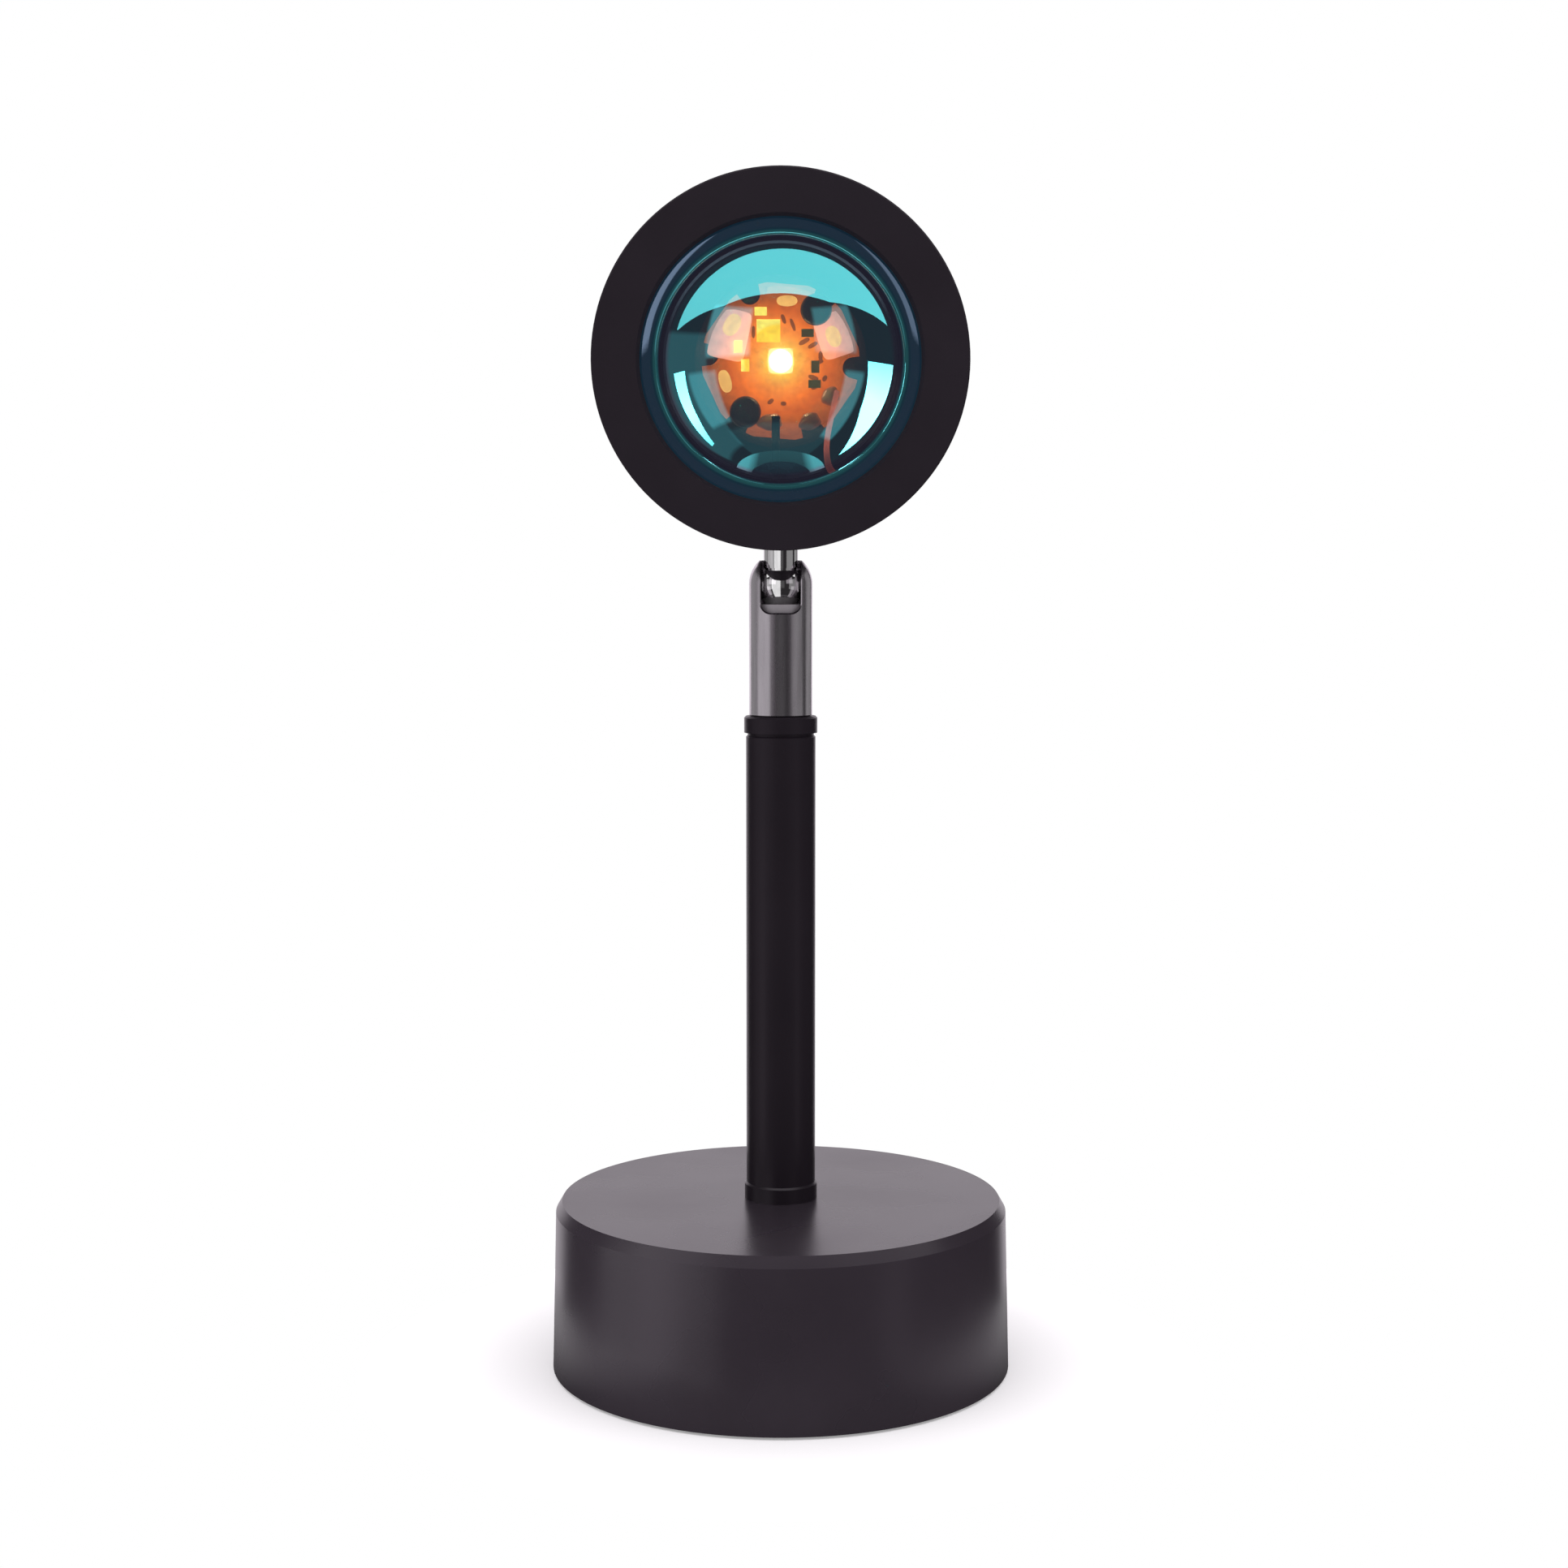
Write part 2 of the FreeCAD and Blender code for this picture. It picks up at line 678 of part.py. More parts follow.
def lens():
    """A flat flange and a thick dome, with a small fillet where they meet."""
    fillet_level = lens_flange_front + lens_root_fillet
    reach = dome_radius + lens_root_fillet
    fillet_radius = math.sqrt(reach**2 - (fillet_level - dome_centre) ** 2)
    slope = math.atan2(fillet_radius, fillet_level - dome_centre)
    on_dome = (dome_radius * math.sin(slope), dome_centre + dome_radius * math.cos(slope))
    on_fillet = (
        fillet_radius - lens_root_fillet * math.sin(slope / 2),
        fillet_level - lens_root_fillet * math.cos(slope / 2),
    )
    half_slope = slope / 2
    return turned(
        (0, lens_back), (lens_radius - edge_break, lens_back), (lens_radius, lens_back + edge_break),
        (lens_radius, lens_flange_front), (fillet_radius, lens_flange_front),
        (on_fillet, on_dome),
        ((dome_radius * math.sin(half_slope), dome_centre + dome_radius * math.cos(half_slope)),
         (0, dome_centre + dome_radius)),
    )


def lens_gasket():
    return ring(lens_radius, lens_radius - gasket_width, lens_back - gasket_thickness, lens_back)


def lens_retainer():
    """A threaded ring with two notches for a key."""
    top = lens_back - gasket_thickness
    band = ring(lens_radius, lens_radius - retainer_width, top - retainer_thickness, top)
    notch = block(
        2 * lens_radius, retainer_notch_width, retainer_notch_depth, 0, 0, top - retainer_thickness
    )
    return band.cut(notch)


def pillar_ring():
    """The circle on which the rear screws stand, just inside the shell's rib."""
    return head_inner_radius - rib_height - pillar_radius - fin_rib_gap / 2


def heat_sink():
    """A disc with a pedestal in front, and radial fins and the rear screws' pillars behind."""
    disc_radius = head_inner_radius - sink_side_gap
    fin_tip = head_inner_radius - rib_height - fin_rib_gap
    fin_back = sink_disc_back - fin_length
    disc = rod(disc_radius, sink_disc_back, sink_disc_front)
    pedestal = rod(pedestal_radius, sink_disc_front, pedestal_top)
    core = rod(sink_core_radius, fin_back, sink_disc_back)
    fin = Part.makeBox(
        fin_tip - sink_core_radius / 2, fin_thickness, fin_length,
        Vector(sink_core_radius / 2, -fin_thickness / 2, fin_back),
    )
    pillar = moved(rod(pillar_radius, cap_inner, sink_disc_back), x=pillar_ring())
    fins = round_pattern(fin, fin_count)
    pillars = round_pattern(pillar, pillar_count, pillar_turn)
    body = disc.fuse([pedestal, core] + fins + pillars)
    pilot = rod(cap_screw_radius + screw_gap, cap_back, cap_back + cap_screw_length + screw_gap)
    pilots = round_pattern(moved(pilot, x=pillar_ring()), pillar_count, pillar_turn)
    board_pilot = rod(board_screw_radius + screw_gap, pedestal_top - board_screw_length, pedestal_top)
    board_pilots = [moved(board_pilot, *board_screw_place(i)) for i in (0, 1)]
    return body.cut(pilots + board_pilots).removeSplitter()


def rear_cap():
    """A chamfered plate with a ring of vents and a spigot that centres it in the shell."""
    spigot = head_inner_radius - head_fit_gap
    spigot_front = -(shell_back - cap_spigot)
    cap = turned(
        (0, cap_back), (head_radius - cap_chamfer, cap_back), (head_radius, cap_back + cap_chamfer),
        (head_radius, -shell_back), (spigot, -shell_back), (spigot, spigot_front),
        (spigot - cap_spigot_wall, spigot_front), (spigot - cap_spigot_wall, cap_inner), (0, cap_inner),
    )
    half = vent_width / 2
    vent = Part.makeBox(
        vent_outer_radius - vent_inner_radius - vent_width, vent_width, cap_plate,
        Vector(vent_inner_radius + half, -half, cap_back),
    )
    inner_end = moved(rod(half, cap_back, cap_inner), x=vent_inner_radius + half)
    outer_end = moved(rod(half, cap_back, cap_inner), x=vent_outer_radius - half)
    vents = round_pattern(vent.fuse([inner_end, outer_end]), vent_count, 180.0 / vent_count)
    cone = cap_screw_head_radius - cap_screw_radius
    sink = turned(
        (0, cap_back), (cap_screw_head_radius + screw_gap, cap_back),
        (cap_screw_radius + screw_gap, cap_back + cone), (cap_screw_radius + screw_gap, cap_inner),
        (0, cap_inner),
    )
    return cap.cut(vents + round_pattern(moved(sink, x=pillar_ring()), pillar_count, pillar_turn))


def rear_cap_screws():
    screw = flat_head_screw(cap_screw_radius, cap_screw_head_radius, cap_screw_length)
    screw.rotate(ORIGIN, X_AXIS, 180)
    first = moved(screw, x=pillar_ring(), z=cap_back)
    return Part.makeCompound(round_pattern(first, pillar_count, pillar_turn))


# ---------------------------------------------------------------- light source, on the pedestal
def notch_angle(i):
    return math.radians(board_turn + 60 * i)


def board_screw_place(side):
    """The centres of the two opposite notches that take the screws."""
    angle = notch_angle(1 + 3 * side)
    return board_notch_ring * math.cos(angle), board_notch_ring * math.sin(angle)


def thermal_pad():
    return rod(board_notch_ring - board_notch_radius, pedestal_top, board_back)


def star_board():
    """A round board cut to a hexagon, with a screw notch at each corner."""
    blank = hexagon(board_flats, board_back, board_front)
    blank.rotate(ORIGIN, Z_AXIS, board_turn)
    blank = blank.common(rod(board_radius, board_back, board_front))
    notch = rod(board_notch_radius, board_back, board_front)
    mouth = Part.makeBox(
        board_radius, 2 * board_notch_radius, board_thickness, Vector(0, -board_notch_radius, board_back)
    )
    notch = moved(notch.fuse(mouth), x=board_notch_ring)
    return blank.cut(round_pattern(notch, 6, board_turn))


def board_screws():
    length = board_screw_length + board_thickness
    screw = pan_head_screw(board_screw_radius, board_screw_head_radius, board_screw_head_height, length)
    return Part.makeCompound([moved(screw, *board_screw_place(i), board_front) for i in (0, 1)])


def emitter_base():
    return block(emitter_side, emitter_side, emitter_height, 0, 0, board_front)


def emitter_dome():
    """Half a sphere on the light source."""
    middle = Vector(0, 0, board_front + emitter_height)
    return Part.makeSphere(emitter_dome_radius, middle, Z_AXIS, 0, 90, 360)


def board_parts():
    """The driver chip and the small resistors round the light source."""
    parts = [block(*chip_size, *chip_place, board_front)]
    for x, y in resistors_upright:
        parts.append(block(resistor_short, resistor_long, resistor_height, x, y, board_front))
    for x, y in resistors_flat:
        parts.append(block(resistor_long, resistor_short, resistor_height, x, y, board_front))
    return Part.makeCompound(parts)


# ---------------------------------------------------------------- leads
def grommet_inner_face():
    """Where the grommet's inner flange bears: the wall curves away, so it stands off by its own sagitta."""
    wall_inside = base_outer_radius(lead_height + grommet_flange_radius) - base_wall
    return math.sqrt(wall_inside**2 - grommet_flange_radius**2)


def connector_end():
    return grommet_inner_face() - grommet_flange - connector_gap


def lead_connector():
    """The plug-in connector just inside the grommet, with a wire entry at its outer end."""
    inner_end = connector_end() - connector_length
    body = block(
        connector_width, connector_length, connector_height, 0, inner_end + connector_length / 2,
        lead_height - connector_height / 2,
    )
    entry = Part.makeCylinder(
        lead_radius, connector_length / 2,
        Vector(0, connector_end() - connector_length / 2, lead_height), Y_AXIS,
    )
    latch = block(
        connector_width / 3, connector_length / 2, connector_height / 5, 0, inner_end + connector_length / 2,
        lead_height + connector_height / 2,
    )
    return body.cut(entry).fuse(latch).removeSplitter()


def lead_clamp():
    """A saddle on the bottom plate that holds the lead."""
    height = lead_height + lead_radius + clamp_cover - plate_top
    body = block(clamp_width, clamp_length, height, 0, clamp_place, plate_top)
    hole = Part.makeCylinder(
        lead_radius + press_gap, clamp_length, Vector(0, clamp_place - clamp_length / 2, lead_height), Y_AXIS
    )
    return body.cut(hole)


def base_lead():
    """The jacketed lead from the connector up to the ball."""
    inner_end = connector_end() - connector_length
    top = ball_level - ball_radius - ball_gap
    route = [(0, inner_end, lead_height), (0, 0, lead_height), (0, 0, top)]
    return piped(route, lead_bend_radius, lead_radius)


def head_lead():
    """The jacketed lead inside the stud, built upright about the ball's centre."""
    return rod(lead_radius, -ball_bottom_flat, stud_top + jacket_lead_out)


def wire(side, far_x, far_y):
    """A wire from the jacket's end, forward below the pedestal and up over the board's edge to its pad."""
    start_x = side * (wire_radius + wire_pair_gap)
    start_y = -head_offset + stud_top + jacket_lead_out
    level = board_front + wire_radius
    below = -board_radius - wire_standoff
    route = [
        (start_x, start_y, 0), (start_x, start_y + wire_run, 0), (far_x, below - wire_run, wire_rise),
        (far_x, below, level), (far_x, far_y, level),
    ]
    return piped(route, wire_bend, wire_radius)


def lead_red():
    return wire(1, *red_joint)


def lead_black():
    return wire(-1, *black_joint)


# ---------------------------------------------------------------- every node, by the frame it is built in
STAND = [
    base_cover, bottom_plate, bottom_plate_screws, foot_pad, base_weight, base_washer, base_nut, grommet,
    base_rod, lower_collar, pole_tube, upper_collar, socket_rod, swivel_socket, socket_plug, disc_springs,
    ball_seat, base_lead, lead_connector, lead_clamp,
]
NECK = [ball_stud, neck_washer, neck_nut, head_lead]
HEAD = [
    head_shell, front_bezel, lens, lens_gasket, lens_retainer, heat_sink, rear_cap, rear_cap_screws,
    thermal_pad, star_board, board_screws, emitter_base, emitter_dome, board_parts, lead_red, lead_black,
]


def main():
    os.makedirs("parts", exist_ok=True)
    for makers, place in ((STAND, Part.Shape.copy), (NECK, in_neck_frame), (HEAD, in_head_frame)):
        for maker in makers:
            shape = place(maker())
            shape.exportStep(f"parts/{maker.__name__}.step")


main()
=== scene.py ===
"""Looks of the sunset projection lamp: finishes, the coated lens and its light, the studio and the camera.

All lengths are in metres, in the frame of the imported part: +Z up, the lens looks along -Y. Only the shapes on
the board and the stops of a glow or tint are in millimetres.
A piece of the head is built in the head's own frame, x to the viewer's right, y up and z along the lens's
axis, and then carried to its place by to_head(), which reads the swivel's place and lean from the joints.
"""

import json
import math

import bpy
import numpy as np
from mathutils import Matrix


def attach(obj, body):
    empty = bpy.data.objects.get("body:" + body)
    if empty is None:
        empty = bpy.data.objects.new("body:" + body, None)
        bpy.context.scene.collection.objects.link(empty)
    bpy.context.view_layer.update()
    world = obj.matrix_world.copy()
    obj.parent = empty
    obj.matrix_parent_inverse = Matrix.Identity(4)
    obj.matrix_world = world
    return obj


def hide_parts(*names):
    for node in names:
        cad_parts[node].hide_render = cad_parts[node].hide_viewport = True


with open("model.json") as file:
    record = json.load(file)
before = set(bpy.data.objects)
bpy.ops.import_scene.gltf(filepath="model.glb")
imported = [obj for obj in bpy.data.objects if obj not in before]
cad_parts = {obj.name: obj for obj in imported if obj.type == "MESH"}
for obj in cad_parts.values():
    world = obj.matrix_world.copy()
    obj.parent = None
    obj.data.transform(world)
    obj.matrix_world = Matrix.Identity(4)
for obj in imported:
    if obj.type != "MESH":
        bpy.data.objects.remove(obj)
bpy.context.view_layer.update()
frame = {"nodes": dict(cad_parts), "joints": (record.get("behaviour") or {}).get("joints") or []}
NODES = frame["nodes"]
JOINTS = {joint["name"]: joint for joint in frame["joints"]}
MM = 0.001

# ---------------------------------------------------------------- sizes that the pieces share
BALL = np.array(JOINTS["head_tilt"]["pos_m"])
NECK_AXIS = np.array(JOINTS["head_turn"]["axis"])
LEAN = math.atan2(-NECK_AXIS[1], NECK_AXIS[2])
HEAD_RISE = 47.1 * MM  # from the ball's centre to the lens's axis
BASE_RADIUS = 50 * MM

LENS_RADIUS = 30.0 * MM
LENS_FRONT = 24.8 * MM  # the flange's front face
LENS_BACK = 21.8 * MM
DOME_ROOT = 25.3 * MM
DOME_RISE = 12.5 * MM
ROOT_FILLET = 0.8 * MM
FLANGE_EDGE = 0.3 * MM
COAT_LIFT = 0.02 * MM
BEVEL_RADIUS = 28.32 * MM
EMITTER_TOP = 15.4 * MM

# the board, in millimetres and degrees
BOARD_FACE = 14.6
BOARD_THICKNESS = 1.6
BOARD_RADIUS = 10.45
BOARD_FLATS = 20.2
BOARD_TURN = -5.0
NOTCH_RADIUS = 1.4
NOTCH_RING = 9.7


# ---------------------------------------------------------------- frames and meshes
def to_head(points):
    """Carries points from the head's frame to the part's: up by its rise, and leaned about the ball."""
    x, y, z = np.asarray(points, float).T
    out = -z
    up = y + HEAD_RISE
    return np.stack([
        x,
        out * math.cos(LEAN) - up * math.sin(LEAN) + BALL[1],
        out * math.sin(LEAN) + up * math.cos(LEAN) + BALL[2],
    ], 1)


def new_mesh(name, points, faces, smooth=True):
    """A mesh object at the origin, from points and faces given as arrays."""
    mesh = bpy.data.meshes.new(name)
    mesh.from_pydata(np.asarray(points).tolist(), [], [list(f) for f in faces])
    mesh.polygons.foreach_set("use_smooth", np.full(len(mesh.polygons), smooth))
    mesh.update()
    piece = bpy.data.objects.new(name, mesh)
    bpy.context.scene.collection.objects.link(piece)
    return piece


def ring_faces(rows, columns):
    """Quads between each row and the next of a grid whose rows close on themselves."""
    i = np.arange(rows - 1)[:, None] * columns
    j = np.arange(columns)[None, :]
    k = (j + 1) % columns
    return np.stack([i + j, i + columns + j, i + columns + k, i + k], -1).reshape(-1, 4)


def turned(profile, steps=192):
    """A surface of revolution.

    Each point (r, h) of the profile is carried round the z axis: x = r cos a, y = r sin a, z = h. A profile
    that starts or ends on the axis is closed there by a fan. Walked so that the outside is on the right.
    """
    profile = np.asarray(profile, float)
    on_axis_first = profile[0, 0] < 1e-9
    on_axis_last = profile[-1, 0] < 1e-9
    body = profile[int(on_axis_first): len(profile) - int(on_axis_last)]
    angle = np.linspace(0, 2 * np.pi, steps, endpoint=False)
    points = np.stack([
        body[:, 0, None] * np.cos(angle), body[:, 0, None] * np.sin(angle),
        np.repeat(body[:, 1, None], steps, 1),
    ], -1).reshape(-1, 3)
    faces = [tuple(f) for f in ring_faces(len(body), steps)]
    column = np.arange(steps)
    following = (column + 1) % steps
    if on_axis_first:
        points = np.vstack([points, [0, 0, profile[0, 1]]])
        faces += [(len(points) - 1, a, b) for a, b in zip(column, following)]
    if on_axis_last:
        points = np.vstack([points, [0, 0, profile[-1, 1]]])
        last = (len(body) - 1) * steps
        faces += [(len(points) - 1, last + b, last + a) for a, b in zip(column, following)]
    return points, faces


def arc(centre, radius, first, last, count=12):
    """Points on a circular arc in the (r, h) plane, angles in degrees from the r axis."""
    t = np.radians(np.linspace(first, last, count))
    return np.stack([centre[0] + radius * np.cos(t), centre[1] + radius * np.sin(t)], 1)


# ---------------------------------------------------------------- node helpers
def new_material(name):
    material = bpy.data.materials.new(name)
    material.use_nodes = True
    tree = material.node_tree
    shader = tree.nodes["Principled BSDF"]
    return material, tree, shader


def add(tree, kind, **settings):
    node = tree.nodes.new(kind)
    for key, value in settings.items():
        setattr(node, key, value)
    return node


def combined(tree, operation, first, second):
    """A math node on two values, each a number or another node's output."""
    node = add(tree, "ShaderNodeMath", operation=operation)
    for socket, value in zip(node.inputs, (first, second)):
        if isinstance(value, (int, float)):
            socket.default_value = value
        else:
            tree.links.new(value, socket)
    return node.outputs[0]


def remap(tree, value, low, high, new_low, new_high):
    node = add(tree, "ShaderNodeMapRange")
    for socket, number in zip(("From Min", "From Max", "To Min", "To Max"), (low, high, new_low, new_high)):
        node.inputs[socket].default_value = number
    tree.links.new(value, node.inputs["Value"])
    return node.outputs["Result"]


def mixed_value(tree, share, first, second):
    """first where share is 0, the number second where it is 1."""
    node = add(tree, "ShaderNodeMix", data_type="FLOAT")
    tree.links.new(share, node.inputs[0])
    tree.links.new(first, node.inputs[2])
    node.inputs[3].default_value = second
    return node.outputs[0]


def mixed_colour(tree, share, first, second):
    """The colour first where share is 0 and second where it is 1."""
    node = add(tree, "ShaderNodeMix", data_type="RGBA")
    node.inputs[6].default_value = (*first, 1)
    node.inputs[7].default_value = (*second, 1)
    tree.links.new(share, node.inputs[0])
    return node.outputs[2]


def scaled(colour, share):
    return tuple(channel * share for channel in colour)


def axes_of(tree, place):
    """The X, Y and Z outputs of a place."""
    parts = add(tree, "ShaderNodeSeparateXYZ")
    tree.links.new(place, parts.inputs[0])
    return parts.outputs


def object_noise(tree, scale, detail):
    """Fractal noise on object coordinates, scale in cycles per metre."""
    place = add(tree, "ShaderNodeTexCoord")
    noise = add(tree, "ShaderNodeTexNoise")
    noise.inputs["Scale"].default_value = scale
    noise.inputs["Detail"].default_value = detail
    tree.links.new(place.outputs["Object"], noise.inputs["Vector"])
    return noise.outputs["Fac"]


def bump(tree, shader, height, strength, distance):
    node = add(tree, "ShaderNodeBump")
    node.inputs["Strength"].default_value = strength
    node.inputs["Distance"].default_value = distance
    tree.links.new(height, node.inputs["Height"])
    tree.links.new(node.outputs["Normal"], shader.inputs["Normal"])


def ramp_of(tree, distance, stops):
    """A colour by distance, from stops of (mm, colour)."""
    first, last = stops[0][0], stops[-1][0]
    ramp = add(tree, "ShaderNodeValToRGB")
    elements = ramp.color_ramp.elements
    for _ in stops[1:-1]:
        elements.new(0.5)
    for element, (position, colour) in zip(elements, stops):
        element.position = (position - first) / (last - first)
        element.color = (*colour, 1)
    tree.links.new(remap(tree, distance, first * MM, last * MM, 0, 1), ramp.inputs["Fac"])
    return ramp.outputs["Color"]


# ---------------------------------------------------------------- finishes
PAINT_SHEEN = (1.0, 0.93, 1.0)


def coated_metal(name, colour, roughness, grain):
    """Black paint or anodising: a fine grain in the bump, with colour and gloss that drift a little."""
    material, tree, shader = new_material(name)
    drift = object_noise(tree, 35.0, 4.0)
    share = remap(tree, drift, 0.3, 0.7, 0, 1)
    tree.links.new(mixed_colour(tree, share, colour, scaled(colour, 1.25)), shader.inputs["Base Color"])
    gloss = remap(tree, drift, 0.3, 0.7, roughness - 0.03, roughness + 0.03)
    tree.links.new(gloss, shader.inputs["Roughness"])
    shader.inputs["Specular Tint"].default_value = (*PAINT_SHEEN, 1)
    bump(tree, shader, object_noise(tree, grain, 2.0), 0.25, 0.00004)
    return material


def plated(name, colour, roughness):
    """Plated metal with streaks along the pole: noise squeezed in x and y, long in z."""
    material, tree, shader = new_material(name)
    shader.inputs["Metallic"].default_value = 1.0
    place = add(tree, "ShaderNodeTexCoord")
    squeeze = add(tree, "ShaderNodeMapping")
    squeeze.inputs["Scale"].default_value = (1, 1, 0.08)
    noise = add(tree, "ShaderNodeTexNoise")
    noise.inputs["Scale"].default_value = 700.0
    noise.inputs["Detail"].default_value = 5.0
    tree.links.new(place.outputs["Object"], squeeze.inputs["Vector"])
    tree.links.new(squeeze.outputs["Vector"], noise.inputs["Vector"])
    streaks = noise.outputs["Fac"]
    share = remap(tree, streaks, 0.35, 0.7, 0, 1)
    tree.links.new(mixed_colour(tree, share, colour, scaled(colour, 0.8)), shader.inputs["Base Color"])
    gloss = remap(tree, streaks, 0.3, 0.7, roughness * 0.8, roughness * 1.25)
    tree.links.new(gloss, shader.inputs["Roughness"])
    bump(tree, shader, streaks, 0.12, 0.00003)
    return material


def plain(name, colour, roughness, metallic=0.0, grain=4000.0):
    """Rubber, nylon or bare metal: an even finish with a fine grain in its tone and bump."""
    material, tree, shader = new_material(name)
    tone = object_noise(tree, grain, 2.0)
    tree.links.new(mixed_colour(tree, tone, scaled(colour, 0.85), colour), shader.inputs["Base Color"])
    shader.inputs["Roughness"].default_value = roughness
    shader.inputs["Metallic"].default_value = metallic
    bump(tree, shader, tone, 0.15, 0.00003)
    return material


def emitter_distance(tree):
    """The distance of a point from the middle of the light source."""
    place = add(tree, "ShaderNodeTexCoord")
    away = add(tree, "ShaderNodeVectorMath", operation="DISTANCE")
    away.inputs[1].default_value = tuple(to_head([(0, 0, EMITTER_TOP)])[0])
    tree.links.new(place.outputs["Object"], away.inputs[0])
    return away.outputs["Value"]


def lit_surface(name, colour, strength, stops, roughness=0.45, metallic=0.0, dim_beyond=None):
    """A surface near the light source: it glows by its distance from it, from stops of (mm, colour). The glow
    is painted light, which stands in for the emitter's light falling on the surface; the surface is no lamp.

    Where dim_beyond is given, what lies further to the viewer's right than that many mm hardly glows, a painted
    shade.
    """
    material, tree, shader = new_material(name)
    tree.links.new(ramp_of(tree, emitter_distance(tree), stops), shader.inputs["Emission Color"])
    patchy = object_noise(tree, 1100.0, 3.0)
    level = remap(tree, patchy, 0.3, 0.7, 0.82 * strength, 1.12 * strength)
    if dim_beyond is not None:
        place = add(tree, "ShaderNodeTexCoord")
        aside = axes_of(tree, place.outputs["Object"])["X"]
        share = remap(tree, aside, dim_beyond * MM, (dim_beyond + 0.2) * MM, 1, 0.04)
        level = combined(tree, "MULTIPLY", share, level)
    tree.links.new(level, shader.inputs["Emission Strength"])
    shader.inputs["Base Color"].default_value = (*colour, 1)
    shader.inputs["Roughness"].default_value = roughness
    shader.inputs["Metallic"].default_value = metallic
    return material


def lens_glass():
    material, tree, shader = new_material("lens_glass")
    shader.inputs["Base Color"].default_value = (0.97, 0.99, 0.98, 1)
    shader.inputs["Roughness"].default_value = 0.0
    shader.inputs["Transmission Weight"].default_value = 1.0
    shader.inputs["IOR"].default_value = 1.517
    return material


# The coat by distance from the lens's axis, in mm: what it mirrors on the dome, its root, the flange and the
# edge beside the bezel, and the faint glow that it gives in the dark. The teal is the coat's own colour; the
# darker, greyer bands from 23 mm to the root and the navy flange are painted shade, the paler edge beside the
# bezel is a painted highlight, and the glow is painted light.
TEAL = (0.15, 0.93, 1.0)
ROOT_TEAL = (0.15, 0.64, 0.70)
NAVY = (0.50, 0.74, 1.0)
EDGE_TEAL = (0.30, 0.97, 1.0)
COAT_TINTS_AND_PAINTED_SHADE = [
    (20.0, TEAL), (22.3, TEAL), (23.0, (0.30, 0.52, 0.66)), (24.4, (0.35, 0.50, 0.65)), (25.0, ROOT_TEAL),
    (26.1, ROOT_TEAL), (26.5, NAVY), (28.1, NAVY), (28.25, EDGE_TEAL), (30.0, EDGE_TEAL),
]
# Painted light: the coat's glow by radius, faint over the dome and the flange, and brighter in a ring at the
# dome's root, a painted highlight there.
DOME_PAINTED_GLOW = (0.018, 0.016, 0.030)
ROOT_PAINTED_HIGHLIGHT = (0.018, 0.09, 0.10)
FLANGE_PAINTED_GLOW = (0.008, 0.026, 0.050)
COAT_PAINTED_GLOWS = [
    (20.0, DOME_PAINTED_GLOW), (24.6, DOME_PAINTED_GLOW), (25.0, ROOT_PAINTED_HIGHLIGHT), (25.6, ROOT_PAINTED_HIGHLIGHT), (26.0, FLANGE_PAINTED_GLOW),
    (30.0, FLANGE_PAINTED_GLOW),
]


def axis_distance(tree):
    """The distance of a point from the lens's axis: the length of its offset crossed with the axis."""
    start, end = to_head([(0, 0, 0), (0, 0, 1)])
    place = add(tree, "ShaderNodeTexCoord")
    offset = add(tree, "ShaderNodeVectorMath", operation="SUBTRACT")
    tree.links.new(place.outputs["Object"], offset.inputs[0])
    offset.inputs[1].default_value = tuple(start)
    across = add(tree, "ShaderNodeVectorMath", operation="CROSS_PRODUCT")
    tree.links.new(offset.outputs[0], across.inputs[0])
    across.inputs[1].default_value = tuple(end - start)
    away = add(tree, "ShaderNodeVectorMath", operation="LENGTH")
    tree.links.new(across.outputs[0], away.inputs[0])
    return away.outputs["Value"]


def lens_coat():
    """A mirror coat that reflects teal and lets the rest through, darker and bluer on the flat rim as painted
    shade, with a faint painted glow.
    """
    material, tree, shader = new_material("lens_coat")
    tree.links.new(ramp_of(tree, axis_distance(tree), COAT_TINTS_AND_PAINTED_SHADE), shader.inputs["Base Color"])
    shader.inputs["Metallic"].default_value = 1.0
    shader.inputs["Roughness"].default_value = 0.02
    # painted light: the coat glows faintly by its distance from the axis
    tree.links.new(ramp_of(tree, axis_distance(tree), COAT_PAINTED_GLOWS), shader.inputs["Emission Color"])
    shader.inputs["Emission Strength"].default_value = 1.0
    clear = add(tree, "ShaderNodeBsdfTransparent")
    clear.inputs["Color"].default_value = (1.0, 0.88, 0.74, 1)
    mix = add(tree, "ShaderNodeMixShader")
    mix.inputs["Fac"].default_value = 0.55
    tree.links.new(clear.outputs["BSDF"], mix.inputs[1])
    tree.links.new(shader.outputs["BSDF"], mix.inputs[2])
    tree.links.new(mix.outputs["Shader"], tree.nodes["Material Output"].inputs["Surface"])
    return material


# ---------------------------------------------------------------- lens
def dome_points(lift, count=64):
    """The dome's profile from the axis to its root fillet, in the (r, h) plane, lifted off the glass."""
    radius = (DOME_ROOT**2 + DOME_RISE**2) / (2 * DOME_RISE)
    centre = LENS_FRONT + DOME_RISE - radius
    fillet_h = LENS_FRONT + ROOT_FILLET
    fillet_r = math.sqrt((radius + ROOT_FILLET) ** 2 - (fillet_h - centre) ** 2)
    slope = math.degrees(math.atan2(fillet_r, fillet_h - centre))
    dome = arc((0, centre), radius + lift, 90, 90 - slope, count)
    dome[0, 0] = 0
    root = arc((fillet_r, fillet_h), ROOT_FILLET - lift, 270 - slope, 270, 10)
    return np.vstack([dome, root])


